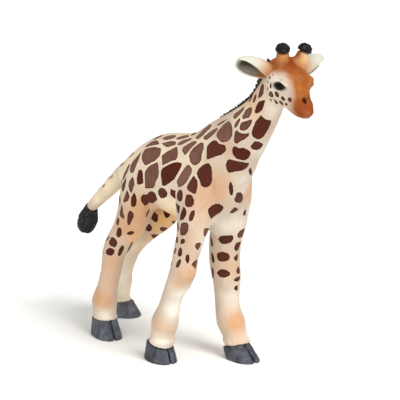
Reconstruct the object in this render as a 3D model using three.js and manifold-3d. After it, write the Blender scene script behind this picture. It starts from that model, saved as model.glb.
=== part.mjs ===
// Toy giraffe calf: a moulded figure of separate pieces that are glued together.
// Millimetres, +Z up, the calf faces +X and its left side is +Y. Nothing on it moves.
import * as THREE from "three";
import { mergeVertices } from "three/addons/utils/BufferGeometryUtils.js";
import Module from "manifold-3d";

const wasm = await Module();
wasm.setup();

// Glue joints: a peg in a socket, and the film of glue all round it
const glueGap = 0.3;
const pegSides = 12;
const overrun = 60;
const fineSteps = 12;

// Body: its middle line runs from the rump to the chest.
const torso = {
  length: 66,
  depth: 28,
  width: 24,
  rearX: -38,
  hipHeight: 57.5,
  withersRise: 8,
};
// along the body, lift of the middle, radius above, radius below, half width
const torsoShares = [
  [0.0, -0.1, 0.1, 0.2, 0.17],
  [0.1, 0.05, 0.2, 0.34, 0.32],
  [0.22, 0.2, 0.345, 0.38, 0.42],
  [0.36, 0.36, 0.455, 0.47, 0.47],
  [0.5, 0.5, 0.47, 0.55, 0.49],
  [0.63, 0.68, 0.475, 0.6, 0.49],
  [0.74, 0.86, 0.5, 0.62, 0.46],
  [0.82, 0.88, 0.45, 0.59, 0.41],
  [0.875, 0.76, 0.33, 0.49, 0.32],
];

// Neck: its middle line runs from inside the chest to the skull.
const neck = {
  baseAlongShare: 0.7,
  baseRise: 8.5,
  reach: 35.5,
  rise: 34,
  depth: 14,
  width: 10,
};
// reach, rise, radius on the mane side, radius on the throat side, half width
const neckShares = [
  [0.0, 0.0, 0.8, 0.94, 1.05],
  [0.25, 0.21, 0.73, 0.86, 0.86],
  [0.49, 0.41, 0.56, 0.71, 0.68],
  [0.74, 0.64, 0.4, 0.48, 0.55],
  [0.91, 0.85, 0.37, 0.32, 0.48],
  [1.03, 1.03, 0.33, 0.27, 0.44],
];
const neckSeam = { reachShare: 0.36, riseShare: 0.3, slopeDegrees: 52 };
const neckPeg = { radius: 3.2, length: 6 };
const headPeg = { radius: 2, length: 3.5, reachShare: 0.97, riseShare: 0.94 };

// Head: placed from the end of the neck, turned towards the calf's right and nodding
const head = {
  length: 20.2,
  depth: 14,
  width: 14,
  behindNeckEnd: 1.2,
  besideNeckEnd: 0.5,
  aboveNeckEnd: 2.9,
  turnDegrees: -7,
  nodDegrees: 35,
  tiltDegrees: -6,
};
// along the head, lift of the middle, radius above, radius below, half width
const headShares = [
  [-0.02, 0.0, 0.21, 0.26, 0.26],
  [0.115, 0.0, 0.36, 0.4, 0.4],
  [0.25, 0.0, 0.42, 0.48, 0.46],
  [0.4, 0.0, 0.43, 0.52, 0.465],
  [0.55, -0.015, 0.36, 0.46, 0.395],
  [0.675, -0.02, 0.27, 0.38, 0.3],
  [0.8, -0.02, 0.22, 0.32, 0.245],
  [0.9, -0.02, 0.2, 0.29, 0.235],
  [0.965, -0.03, 0.155, 0.23, 0.19],
];
const brow = { radius: 2.3, along: 9.8, beside: 3.8, lift: 2.6 };

// Legs: `rise` takes a leg from the hip's height up into the body, `reach` runs ahead of the
// foot, and `splay` brings the leg in towards the middle of the body as it rises.
const frontRight = {
  foot: { behindChest: 31.9, beside: -11.5 },
  rise: 10.5,
  reach: 14,
  splay: 5.5,
  depth: 4.6,
  width: 4,
};
const frontLeft = {
  foot: { behindChest: 19.1, beside: 10.4 },
  rise: 10.5,
  reach: 9,
  splay: 4.5,
  depth: 4.8,
  width: 4.4,
};
const rearRight = {
  foot: { aheadOfRump: 0.4, beside: -10.1 },
  rise: 6.5,
  reach: 15.6,
  splay: 4.5,
  depth: 4.6,
  width: 3.8,
};
const rearLeft = {
  foot: { aheadOfRump: -17.8, beside: 8.8 },
  rise: 6.5,
  reach: 36,
  splay: 3.5,
  depth: 4.6,
  width: 3.8,
};
// height, reach, splay, then radii ahead, behind and beside
const frontRightShares = [
  [1.0, 1.0, 1.0, 1.3, 1.4, 0.95],
  [0.92, 1.08, 0.85, 1.6, 1.7, 1.2],
  [0.81, 1.06, 0.6, 1.75, 1.68, 1.3],
  [0.725, 1.06, 0.5, 1.52, 1.42, 1.22],
  [0.65, 1.0, 0.38, 1.22, 1.13, 1.07],
  [0.56, 0.87, 0.27, 1.1, 0.98, 0.98],
  [0.485, 0.81, 0.18, 1.17, 0.94, 1.0],
  [0.425, 0.7, 0.08, 0.88, 0.88, 0.95],
  [0.355, 0.53, 0.0, 0.7, 0.78, 0.85],
  [0.27, 0.35, 0.0, 0.86, 0.82, 0.88],
  [0.2, 0.21, 0.0, 1.06, 1.13, 1.04],
  [0.13, 0.1, 0.0, 0.9, 0.9, 0.93],
  [0.04, 0.02, 0.0, 0.95, 0.9, 1.0],
];
const frontLeftShares = [
  [1.0, 0.6, 1.0, 1.3, 1.3, 0.9],
  [0.92, 0.5, 0.85, 1.2, 1.6, 1.15],
  [0.81, 0.26, 0.65, 1.27, 1.6, 1.25],
  [0.71, -0.1, 0.45, 1.46, 1.45, 1.26],
  [0.64, -0.34, 0.35, 1.32, 1.27, 1.22],
  [0.55, -0.53, 0.24, 1.09, 1.15, 1.2],
  [0.46, -0.62, 0.14, 1.08, 1.03, 1.17],
  [0.4, -0.57, 0.06, 1.03, 0.96, 1.12],
  [0.34, -0.55, 0.0, 0.86, 0.93, 1.02],
  [0.25, -0.53, 0.0, 0.84, 0.88, 0.92],
  [0.175, -0.34, 0.0, 0.95, 1.12, 1.0],
  [0.12, -0.07, 0.0, 0.86, 0.94, 0.9],
  [0.04, 0.16, 0.0, 0.9, 0.9, 0.96],
];
const rearRightShares = [
  [0.97, 0.94, 1.0, 1.0, 0.9, 0.75],
  [0.9, 0.98, 0.9, 1.8, 1.3, 1.15],
  [0.82, 0.94, 0.75, 2.1, 1.5, 1.35],
  [0.72, 0.86, 0.55, 1.75, 1.35, 1.25],
  [0.61, 0.64, 0.4, 1.25, 1.1, 1.1],
  [0.52, 0.37, 0.27, 1.05, 1.06, 1.0],
  [0.46, 0.25, 0.2, 0.95, 0.93, 0.97],
  [0.37, 0.18, 0.1, 0.87, 0.74, 0.9],
  [0.27, 0.07, 0.0, 0.87, 0.8, 0.9],
  [0.19, -0.02, 0.0, 1.04, 1.17, 1.07],
  [0.13, -0.02, 0.0, 0.95, 0.95, 1.0],
  [0.04, 0.02, 0.0, 0.98, 0.97, 1.03],
];
const rearLeftShares = [
  [0.96, 0.77, 1.0, 1.0, 0.9, 0.7],
  [0.88, 0.77, 0.9, 2.1, 1.6, 1.2],
  [0.79, 0.76, 0.75, 2.7, 1.9, 1.35],
  [0.69, 0.68, 0.6, 2.25, 1.7, 1.3],
  [0.59, 0.55, 0.4, 1.3, 1.4, 1.15],
  [0.49, 0.35, 0.2, 0.93, 1.15, 1.05],
  [0.41, 0.2, 0.1, 0.86, 1.0, 0.97],
  [0.34, 0.11, 0.0, 0.84, 0.9, 0.92],
  [0.27, 0.05, 0.0, 0.84, 0.84, 0.88],
  [0.2, 0.0, 0.0, 0.95, 1.0, 0.98],
  [0.13, 0.0, 0.0, 0.82, 0.87, 0.92],
  [0.04, 0.0, 0.0, 0.86, 0.9, 0.96],
];
const legs = {
  front_right: { leg: frontRight, shares: frontRightShares, seamShare: 0.65 },
  front_left: { leg: frontLeft, shares: frontLeftShares, seamShare: 0.65 },
  rear_right: { leg: rearRight, shares: rearRightShares, seamShare: 0.71 },
  rear_left: { leg: rearLeft, shares: rearLeftShares, seamShare: 0.71 },
};
const legPeg = { radius: 1.8, length: 4.5 };

// Hooves: the leg ends at `ankle`, on a slope down to the front by `lean`. The sole lies ahead
// of the leg by `toe`, and `heel` lengthens the back.
const hoof = {
  length: 13.2,
  width: 9.1,
  height: 5.2,
  squareness: 2.3,
  cleftWidth: 0.8,
  cleftDepth: 1.6,
};
// height, radius ahead, radius behind, half width
const hoofShares = [
  [0.0, 0.465, 0.52, 0.49],
  [0.12, 0.47, 0.525, 0.5],
  [0.55, 0.415, 0.455, 0.475],
  [1.6, 0.28, 0.31, 0.39],
];
const hoofPoses = {
  front_right: { turn: -3, lean: 13, toe: 0.7, ankle: 5.8, heel: 1 },
  front_left: { turn: 2, lean: -14, toe: 3.9, ankle: 4.5, heel: 1 },
  rear_right: { turn: -10, lean: -1, toe: 1.6, ankle: 6.4, heel: 1.25 },
  rear_left: { turn: 33, lean: -3, toe: 1.5, ankle: 5.4, heel: 1 },
};
const hoofPeg = { radius: 1.7, length: 2.2 };

// Tail
const tail = {
  rootAheadOfRump: 5,
  rootRise: 2.2,
  reach: 24.8,
  drop: 19.1,
  swing: 1.8,
  radius: 2.6,
};
// reach, drop, swing to the right, radius
const tailShares = [
  [0.0, 0.0, 0.0, 1.2],
  [0.25, 0.185, 0.0, 1.2],
  [0.5, 0.455, 0.2, 1.12],
  [0.75, 0.72, 0.5, 1.0],
  [1.0, 1.0, 0.9, 0.74],
];
const tuft = { radius: 3.5, reach: 3.9, drop: 8 };
// along the tuft, radius
const tuftShares = [
  [0.0, 0.6],
  [0.25, 0.75],
  [0.6, 1.0],
  [0.95, 0.9],
];

// Ears: leaf shaped, with a hollow that faces ahead. Root and tip are places on the head.
const ear = {
  width: 8,
  thickness: 2.2,
  hollowDepth: 1.1,
  rootAlong: 2.6,
  rootBeside: 4.2,
  rootLift: 0.2,
  tipAlong: -1.3,
  tipBeside: 16.2,
  tipLift: 1.5,
};
// along the ear, half width, half thickness
const earShares = [
  [0.0, 0.36, 0.5],
  [0.25, 0.49, 0.5],
  [0.55, 0.52, 0.48],
  [0.8, 0.42, 0.42],
  [0.93, 0.28, 0.34],
];
const earHollowShares = [
  [0.33, 0.2, 0.3],
  [0.55, 0.32, 0.5],
  [0.8, 0.2, 0.3],
];

// Horns and their caps
const horn = {
  height: 5.3,
  baseRadius: 2.6,
  middleRadius: 2.3,
  topRadius: 1.95,
  along: 4.4,
  beside: 2.8,
  lift: 3.5,
  backDegrees: 24,
  flareDegrees: 14,
};
const hornCap = { radius: 2.3, height: 2 };
const hornPeg = { radius: 1, length: 1.5 };
// height, radius
const hornCapShares = [
  [0.0, 0.88],
  [0.3, 1.0],
  [0.6, 0.95],
];

// Eyes: flattened beads in round sockets
const eye = {
  length: 4.9,
  height: 2.5,
  depth: 2.4,
  along: 9.6,
  beside: 5.3,
  lift: 1,
  riseDegrees: 34,
};

// Mane: a ridge let into the back of the neck, growing from the withers to the poll
const mane = { rise: 1.5, sink: 1.4, width: 2.6 };
// along the neck, rise out of it
const maneShares = [
  [0.28, 0.2],
  [0.42, 0.5],
  [0.6, 0.75],
  [0.78, 1.2],
  [0.96, 1.1],
];

const hide = { color: "#f0c9a0", roughness: 0.6, metalness: 0 };
const faceTan = { color: "#c4733a", roughness: 0.6, metalness: 0 };
const earWhite = { color: "#e6dccb", roughness: 0.6, metalness: 0 };
const capBlack = { color: "#1d1d1d", roughness: 0.45, metalness: 0 };
const maneBrown = { color: "#4a3330", roughness: 0.7, metalness: 0 };
const tuftBlack = { color: "#2b2a2c", roughness: 0.6, metalness: 0 };
const hoofGrey = { color: "#4a4a52", roughness: 0.5, metalness: 0 };
const eyeBlack = { color: "#0c0a09", roughness: 0.1, metalness: 0 };

const lateral = new THREE.Vector3(0, 1, 0);
const upward = new THREE.Vector3(0, 0, 1);
const fullTurn = 2 * Math.PI;
const quarterTurn = fullTurn / 4;
const domeRings = 3;
const domeSteps = [1, 2];
const radians = THREE.MathUtils.degToRad;

// Where the neck's middle line is, as shares of its reach and rise
function neckPlace(reachShare, riseShare) {
  const baseX = torso.rearX + torso.length * neck.baseAlongShare;
  const baseZ = torso.hipHeight + neck.baseRise;
  return new THREE.Vector3(baseX + neck.reach * reachShare, 0, baseZ + neck.rise * riseShare);
}

// The head's own frame: +X towards the muzzle, +Y towards the left ear
const headGroup = new THREE.Group();
headGroup.position.copy(neckPlace(1, 1));
headGroup.position.x -= head.behindNeckEnd;
headGroup.position.y += head.besideNeckEnd;
headGroup.position.z += head.aboveNeckEnd;
headGroup.rotation.order = "ZYX";
headGroup.rotation.x = radians(head.tiltDegrees);
headGroup.rotation.y = radians(head.nodDegrees);
headGroup.rotation.z = radians(head.turnDegrees);
headGroup.updateMatrix();
const fromHead = headGroup.matrix.elements;
const toHead = headGroup.matrix.clone().invert().elements;

// Rows between the rows of a table, on a smooth curve through them
function refine(rows, steps) {
  const places = rows.map((row, index) => index);
  const curve = new THREE.CubicInterpolant(places, rows.flat(), rows[0].length);
  const count = (rows.length - 1) * steps;
  return Array.from({ length: count + 1 }, (_, index) => Array.from(curve.evaluate(index / steps)));
}

// Faces between rings of points. The last two points close the first and the last ring.
function closedRings(points, ringCount, sides) {
  const faces = [];
  const startPole = points.length - 2;
  const endPole = points.length - 1;
  const lastRing = (ringCount - 1) * sides;
  for (let side = 0; side < sides; side += 1) {
    const beyond = (side + 1) % sides;
    for (let ring = 0; ring + 1 < ringCount; ring += 1) {
      const here = ring * sides + side;
      const next = ring * sides + beyond;
      faces.push(here, here + sides, next + sides);
      faces.push(here, next + sides, next);
    }
    faces.push(startPole, side, beyond);
    faces.push(endPole, lastRing + beyond, lastRing + side);
  }
  return new THREE.BufferGeometry().setFromPoints(points).setIndex(faces);
}

// A closed tube through stations of [x, y, z, radius above, radius below, radius beside].
// "Above" is the side that (path x across) points to.
function loft(stations, { sides = 16, steps = 2, domes = [1, 1], across = lateral } = {}) {
  const rows = refine(stations, steps);
  const middles = rows.map((row) => new THREE.Vector3(...row.slice(0, 3)));
  const rings = rows.map((row, index) => {
    const ahead = middles[Math.min(index + 1, rows.length - 1)];
    const behind = middles[Math.max(index - 1, 0)];
    const along = ahead.clone().sub(behind).normalize();
    const above = along.clone().cross(across).normalize();
    const beside = above.clone().cross(along).normalize();
    return { middle: middles[index], along, above, beside, radii: row.slice(3) };
  });
  const points = [];
  const addRing = (ring, scale, push) => {
    for (let side = 0; side < sides; side += 1) {
      const angle = (fullTurn * side) / sides;
      const rise = Math.cos(angle) * (Math.cos(angle) > 0 ? ring.radii[0] : ring.radii[1]);
      const point = ring.middle.clone();
      point.addScaledVector(ring.above, rise * scale);
      point.addScaledVector(ring.beside, Math.sin(angle) * ring.radii[2] * scale);
      point.addScaledVector(ring.along, push);
      points.push(point);
    }
  };
  const addDome = (ring, push, order) => {
    if (push === 0) return;
    for (const step of order) {
      const angle = (quarterTurn * step) / domeRings;
      addRing(ring, Math.cos(angle), push * Math.sin(angle));
    }
  };
  const first = rings[0];
  const last = rings[rings.length - 1];
  const reach = (ring) => (ring.radii[0] + ring.radii[1] + 2 * ring.radii[2]) / 4;
  const startPush = -domes[0] * reach(first);
  const endPush = domes[1] * reach(last);
  addDome(first, startPush, [...domeSteps].reverse());
  rings.forEach((ring) => addRing(ring, 1, 0));
  addDome(last, endPush, domeSteps);
  const ringCount = points.length / sides;
  points.push(first.middle.clone().addScaledVector(first.along, startPush));
  points.push(last.middle.clone().addScaledVector(last.along, endPush));
  return closedRings(points, ringCount, sides);
}

// A closed geometry as a solid that can be joined and cut
function solid(geometry) {
  const bare = new THREE.BufferGeometry();
  bare.setAttribute("position", geometry.getAttribute("position"));
  bare.setIndex(geometry.index);
  const merged = mergeVertices(bare);
  return new wasm.Manifold(
    new wasm.Mesh({
      numProp: 3,
      vertProperties: merged.attributes.position.array,
      triVerts: new Uint32Array(merged.index.array),
    }),
  );
}

// The same tube twice: as it is, and with the film of glue round it
function loftAndSocket(stations, options) {
  const wider = stations.map((row) => [
    ...row.slice(0, 3),
    ...row.slice(3).map((radius) => radius + glueGap),
  ]);
  return { made: solid(loft(stations, options)), socket: solid(loft(wider, options)) };
}

// A turn that brings +Z to a direction, and a move to a place
function facing(place, direction) {
  const turn = new THREE.Quaternion().setFromUnitVectors(upward, direction.clone().normalize());
  return new THREE.Matrix4().compose(place, turn, new THREE.Vector3(1, 1, 1));
}

// All that lies beyond a plane, on the side the direction points to
function beyondPlane(place, direction) {
  const box = new THREE.BoxGeometry(2 * overrun, 2 * overrun, 2 * overrun);
  box.translate(0, 0, overrun).applyMatrix4(facing(place, direction));
  return solid(box);
}

// A round bar that crosses the plane at a place, half of it on each side
function pegAt(place, direction, { radius, length }) {
  const bar = new THREE.CylinderGeometry(radius, radius, 2 * length, pegSides);
  bar.rotateX(quarterTurn).applyMatrix4(facing(place, direction));
  return solid(bar);
}

function socketAt(place, direction, { radius, length }) {
  return pegAt(place, direction, { radius: radius + glueGap, length: length + glueGap });
}

// Cuts a solid at a plane, with half the film of glue on each side
function splitAt(made, place, direction) {
  const unit = direction.clone().normalize();
  const back = unit.clone().negate();
  const ahead = made.intersect(beyondPlane(place.clone().addScaledVector(unit, glueGap / 2), unit));
  const behind = made.intersect(beyondPlane(place.clone().addScaledVector(back, glueGap / 2), back));
  return { ahead, behind };
}

function torsoStations() {
  return torsoShares.map(([along, lift, above, below, beside]) => [
    torso.rearX + torso.length * along,
    0,
    torso.hipHeight + torso.withersRise * lift,
    torso.depth * above,
    torso.depth * below,
    torso.width * beside,
  ]);
}

function neckStations() {
  return neckShares.map(([reach, rise, above, below, beside]) => [
    ...neckPlace(reach, rise).toArray(),
    neck.depth * above,
    neck.depth * below,
    neck.width * beside,
  ]);
}

function headStations() {
  return headShares.map(([along, lift, above, below, beside]) => [
    head.length * along,
    0,
    head.depth * lift,
    head.depth * above,
    head.depth * below,
    head.width * beside,
  ]);
}

// Where a foot stands, measured from the chest or from the rump
function footPlace({ foot }) {
  const chestX = torso.rearX + torso.length;
  const x = "behindChest" in foot ? chestX - foot.behindChest : torso.rearX + foot.aheadOfRump;
  return new THREE.Vector3(x, foot.beside, 0);
}

function legHeight(leg) {
  return torso.hipHeight + leg.rise;
}

function legStations(leg, shares) {
  const place = footPlace(leg);
  const inward = -Math.sign(leg.foot.beside);
  return shares.map(([height, reach, splay, ahead, behind, beside]) => [
    place.x + leg.reach * reach,
    place.y + inward * leg.splay * splay,
    legHeight(leg) * height,
    leg.depth * ahead,
    leg.depth * behind,
    leg.width * beside,
  ]);
}

// The middle of a leg at a height
function legMiddle(leg, shares, heightShare) {
  const rows = refine(legStations(leg, shares), fineSteps);
  const level = legHeight(leg) * heightShare;
  const nearer = (best, row) => (Math.abs(row[2] - level) < Math.abs(best[2] - level) ? row : best);
  const row = rows.reduce(nearer);
  return new THREE.Vector3(row[0], row[1], level);
}

// Hoof, in its own frame: rings of a squared circle, smaller upwards, with a cleft toe
function hoofSolid({ toe, heel }) {
  const sides = 24;
  const sole = hoofShares[0];
  const top = hoofShares[hoofShares.length - 1];
  const bend = 2 / hoof.squareness;
  const squared = (value) => Math.sign(value) * Math.abs(value) ** bend;
  const points = [];
  for (const [height, ahead, behind, beside] of hoofShares) {
    const shift = toe * (1 - height);
    for (let side = 0; side < sides; side += 1) {
      const angle = (-fullTurn * side) / sides;
      const cos = squared(Math.cos(angle));
      const x = shift + hoof.length * cos * (cos > 0 ? ahead : behind * heel);
      const y = hoof.width * beside * squared(Math.sin(angle));
      points.push(new THREE.Vector3(x, y, hoof.height * height));
    }
  }
  points.push(new THREE.Vector3(toe, 0, 0));
  points.push(new THREE.Vector3(0, 0, hoof.height * top[0]));
  const toeRun = hoof.length * (sole[1] - top[1]) + toe * top[0];
  const toeSlope = toeRun / (hoof.height * top[0]);
  const cleft = new THREE.BoxGeometry(hoof.length, hoof.cleftWidth, 2 * overrun);
  cleft.translate(hoof.length / 2 - hoof.cleftDepth, 0, 0);
  cleft.applyMatrix4(new THREE.Matrix4().makeShear(0, 0, 0, 0, -toeSlope, 0));
  cleft.translate(toe + hoof.length * sole[1], 0, 0);
  return solid(closedRings(points, hoofShares.length, sides)).subtract(solid(cleft));
}

// One leg and its hoof, cut from the body at the seam and from each other above the hoof.
// The hoof is in its own frame, which `stand` places and turns.
function legPieces({ leg, shares, seamShare }, pose) {
  const made = solid(loft(legStations(leg, shares), { sides: 14, domes: [0.7, 0] }));
  const seam = legMiddle(leg, shares, seamShare);
  const upper = splitAt(made, seam, upward);
  const stand = new THREE.Group();
  stand.position.copy(footPlace(leg));
  stand.rotation.z = radians(pose.turn);
  stand.updateMatrix();
  const ankle = new THREE.Vector3(0, 0, pose.ankle);
  const slope = new THREE.Vector3(Math.sin(radians(pose.lean)), 0, Math.cos(radians(pose.lean)));
  const legAnkle = ankle.clone().applyMatrix4(stand.matrix);
  const legSlope = slope.clone().transformDirection(stand.matrix);
  const limb = splitAt(upper.behind, legAnkle, legSlope).ahead;
  return {
    shoulder: upper.ahead,
    shoulderSocket: socketAt(seam, upward, legPeg),
    limb: limb.add(pegAt(seam, upward, legPeg)).add(pegAt(legAnkle, legSlope, hoofPeg)),
    hoof: splitAt(hoofSolid(pose), ankle, slope).behind.subtract(socketAt(ankle, slope, hoofPeg)),
    stand,
  };
}

function earRows(side, shares) {
  const root = new THREE.Vector3(ear.rootAlong, side * ear.rootBeside, ear.rootLift);
  const tip = new THREE.Vector3(ear.tipAlong, side * ear.tipBeside, ear.tipLift);
  return shares.map(([along, width, thickness]) => {
    const half = ear.width * width;
    const place = root.clone().lerp(tip, along);
    return [...place.toArray(), ear.thickness * thickness, ear.thickness * thickness, half];
  });
}

function earPieces(side) {
  const options = { sides: 16, across: upward };
  const { made, socket } = loftAndSocket(earRows(side, earShares), { ...options, domes: [0, 0.8] });
  const hollowRows = earRows(side, earHollowShares).map(([x, ...row]) => [x + ear.hollowDepth, ...row]);
  return { made: made.subtract(solid(loft(hollowRows, options))), socket };
}

function hornPieces(side) {
  const lean = -Math.tan(radians(horn.backDegrees));
  const rise = new THREE.Vector3(lean, side * Math.tan(radians(horn.flareDegrees)), 1).normalize();
  const root = new THREE.Vector3(horn.along, side * horn.beside, horn.lift);
  const top = root.clone().addScaledVector(rise, horn.height);
  const round = (place, radius) => [...place.toArray(), radius, radius, radius];
  const rows = [
    round(root, horn.baseRadius),
    round(root.clone().lerp(top, 1 / 2), horn.middleRadius),
    round(top, horn.topRadius),
  ];
  const { made, socket } = loftAndSocket(rows, { sides: 14, domes: [0, 0] });
  const capFoot = top.clone().addScaledVector(rise, glueGap);
  const capRows = hornCapShares.map(([height, radius]) =>
    round(capFoot.clone().addScaledVector(rise, hornCap.height * height), hornCap.radius * radius),
  );
  const capMade = solid(loft(capRows, { sides: 14, domes: [0, 0.6] }));
  return {
    stalk: made.add(pegAt(top, rise, hornPeg)),
    socket,
    cap: capMade.subtract(socketAt(top, rise, hornPeg)),
  };
}

function eyePieces(side) {
  const bead = (film) => {
    const ball = new THREE.SphereGeometry(1, 16, 10);
    ball.scale(eye.length / 2 + film, eye.depth / 2 + film, eye.height / 2 + film);
    ball.rotateY(-radians(eye.riseDegrees));
    return solid(ball.translate(eye.along, side * eye.beside, eye.lift));
  };
  return { made: bead(0), socket: bead(glueGap) };
}

// Mane: follows the back of the neck, partly sunk in it
function manePieces() {
  const rows = refine(neckStations(), fineSteps);
  const last = rows.length - 1;
  const stations = maneShares.map(([share, rise]) => {
    const index = Math.round(share * last);
    const row = rows[index];
    const next = rows[Math.min(index + 1, last)];
    const along = new THREE.Vector3(next[0] - row[0], 0, next[2] - row[2]).normalize();
    const above = along.clone().cross(lateral);
    const place = new THREE.Vector3(...row.slice(0, 3)).addScaledVector(above, row[3]);
    return [...place.toArray(), mane.rise * rise, mane.sink, mane.width / 2];
  });
  return loftAndSocket(stations, { sides: 10, steps: 3 });
}

function tailPieces() {
  const rows = tailShares.map(([reach, drop, swing, radius]) => {
    const thick = tail.radius * radius;
    const x = torso.rearX + tail.rootAheadOfRump - tail.reach * reach;
    const z = torso.hipHeight + tail.rootRise - tail.drop * drop;
    return [x, -tail.swing * swing, z, thick, thick, thick];
  });
  const { made, socket } = loftAndSocket(rows, { sides: 12, domes: [0, 0.6] });
  const end = rows[rows.length - 1];
  const tuftRows = tuftShares.map(([along, radius]) => {
    const thick = tuft.radius * radius;
    return [end[0] - tuft.reach * along, end[1], end[2] - tuft.drop * along, thick, thick, thick];
  });
  const tuftMade = solid(loft(tuftRows, { sides: 14, domes: [0.6, 0.8] }));
  return { stem: made, socket, tuft: tuftMade.subtract(socket) };
}

// The skull with its brows, and the space it takes in the neck
function skullPieces() {
  const { made, socket } = loftAndSocket(headStations(), { sides: 24, domes: [0.8, 0.6] });
  let skull = made;
  for (const side of [-1, 1]) {
    const bump = new THREE.SphereGeometry(brow.radius, 14, 10);
    skull = skull.add(solid(bump.translate(brow.along, side * brow.beside, brow.lift)));
  }
  return { skull, socket };
}

function mesh(name, made, finish) {
  const data = made.getMesh();
  const positions = [];
  for (let vertex = 0; vertex < data.numVert; vertex += 1) {
    const start = vertex * data.numProp;
    positions.push(...data.vertProperties.subarray(start, start + data.numProp));
  }
  const geometry = new THREE.BufferGeometry();
  geometry.setAttribute("position", new THREE.Float32BufferAttribute(positions, 3));
  geometry.setIndex(new THREE.BufferAttribute(data.triVerts, 1));
  geometry.computeVertexNormals();
  const piece = new THREE.Mesh(geometry, new THREE.MeshStandardMaterial(finish));
  piece.name = name;
  return piece;
}

const calf = new THREE.Group();
calf.add(headGroup);

// Body and neck are one form, with the tops of the legs, until the seam parts them.
const torsoMade = solid(loft(torsoStations(), { sides: 28, domes: [0.8, 0.35] }));
const neckMade = solid(loft(neckStations(), { sides: 24, steps: 3, domes: [0.6, 0.4] }));
let trunk = torsoMade.add(neckMade);
for (const [name, place] of Object.entries(legs)) {
  const pieces = legPieces(place, hoofPoses[name]);
  trunk = trunk.add(pieces.shoulder).subtract(pieces.shoulderSocket);
  calf.add(mesh(`${name}_leg`, pieces.limb, hide));
  pieces.stand.add(mesh(`${name}_hoof`, pieces.hoof, hoofGrey));
  calf.add(pieces.stand);
}

const ridge = manePieces();
const seamPlace = neckPlace(neckSeam.reachShare, neckSeam.riseShare);
const seamSlope = radians(neckSeam.slopeDegrees);
const neckward = new THREE.Vector3(Math.cos(seamSlope), 0, Math.sin(seamSlope));
const trunkParts = splitAt(trunk, seamPlace, neckward);

const rope = tailPieces();
let torsoPiece = trunkParts.behind.subtract(socketAt(seamPlace, neckward, neckPeg));
torsoPiece = torsoPiece.subtract(ridge.socket).subtract(rope.socket);

const { skull, socket: skullSocket } = skullPieces();
const pollPlace = neckPlace(headPeg.reachShare, headPeg.riseShare);
let neckPiece = trunkParts.ahead.subtract(skullSocket.transform(fromHead));
neckPiece = neckPiece.add(pegAt(seamPlace, neckward, neckPeg)).add(pegAt(pollPlace, neckward, headPeg));
neckPiece = neckPiece.subtract(ridge.socket);

let headPiece = skull.subtract(socketAt(pollPlace, neckward, headPeg).transform(toHead));
headPiece = headPiece.subtract(ridge.socket.transform(toHead));
for (const [name, side] of [["right", -1], ["left", 1]]) {
  const flap = earPieces(side);
  const spike = hornPieces(side);
  const bead = eyePieces(side);
  headPiece = headPiece.subtract(flap.socket).subtract(spike.socket).subtract(bead.socket);
  headGroup.add(mesh(`${name}_ear`, flap.made.subtract(spike.socket), earWhite));
  headGroup.add(mesh(`${name}_horn`, spike.stalk, faceTan));
  headGroup.add(mesh(`${name}_horn_cap`, spike.cap, capBlack));
  headGroup.add(mesh(`${name}_eye`, bead.made, eyeBlack));
}

headGroup.add(mesh("head", headPiece, faceTan));
calf.add(mesh("torso", torsoPiece, hide));
calf.add(mesh("neck", neckPiece, hide));
calf.add(mesh("mane", ridge.made, maneBrown));
calf.add(mesh("tail", rope.stem, hide));
calf.add(mesh("tail_tuft", rope.tuft, tuftBlack));

// The calf stands over the origin, in the middle of its own box.
const box = new THREE.Box3().setFromObject(calf, true);
const middle = box.getCenter(new THREE.Vector3());
calf.position.set(-middle.x, -middle.y, -box.min.z);
const figure = new THREE.Group();
figure.add(calf);

export default figure;
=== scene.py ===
import math
import random

import bmesh
import bpy
import numpy as np
from mathutils import Euler, Matrix, Vector, noise
from mathutils.bvhtree import BVHTree


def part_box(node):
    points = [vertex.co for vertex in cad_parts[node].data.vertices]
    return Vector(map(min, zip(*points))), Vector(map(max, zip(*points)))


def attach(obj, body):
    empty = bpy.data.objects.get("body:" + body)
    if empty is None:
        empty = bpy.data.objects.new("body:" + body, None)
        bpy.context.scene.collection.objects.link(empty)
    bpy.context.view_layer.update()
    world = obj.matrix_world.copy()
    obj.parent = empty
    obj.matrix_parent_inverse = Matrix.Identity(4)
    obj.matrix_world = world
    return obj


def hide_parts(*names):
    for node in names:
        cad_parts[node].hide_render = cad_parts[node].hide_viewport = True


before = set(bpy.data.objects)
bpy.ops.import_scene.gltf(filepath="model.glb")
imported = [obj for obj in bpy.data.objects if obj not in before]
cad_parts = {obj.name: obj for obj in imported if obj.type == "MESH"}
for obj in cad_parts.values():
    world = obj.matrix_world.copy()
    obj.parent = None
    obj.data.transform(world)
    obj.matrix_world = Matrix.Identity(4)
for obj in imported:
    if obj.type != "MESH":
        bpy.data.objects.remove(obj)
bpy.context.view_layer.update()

# Everything is modelled in millimetres, in the frame's own axes, and becomes metres at the end.
millimetres = 1000
near_zero = 1e-6
merge_distance = 0.001

# From the calf's own middle lines, where its neck, legs and head were laid out, to the frame's origin
calf_shift = Vector((2.271, -0.507, 0))

# The photograph's camera: where it looks, and how much of the scene the square picture covers there
photo_size = 400
view_target = calf_shift + Vector((0, 2.1, 53.0))
view_azimuth = 53
view_elevation = 13
view_distance = 700
view_cover = 131
sensor_width = 36

# The head's own frame: +X towards the muzzle, +Y towards the calf's left ear
head_place = calf_shift + Vector((42.5, 0.5, 102.9))
head_tilt = -6
head_nod = 35
head_turn = -7

middle_y = calf_shift.y


def aim(azimuth, elevation):
    """The direction from the figure to an eye that stands at these angles."""
    turn = math.radians(azimuth)
    rise = math.radians(elevation)
    level = math.cos(rise)
    return Vector((level * math.sin(turn), -level * math.cos(turn), math.sin(rise)))


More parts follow.
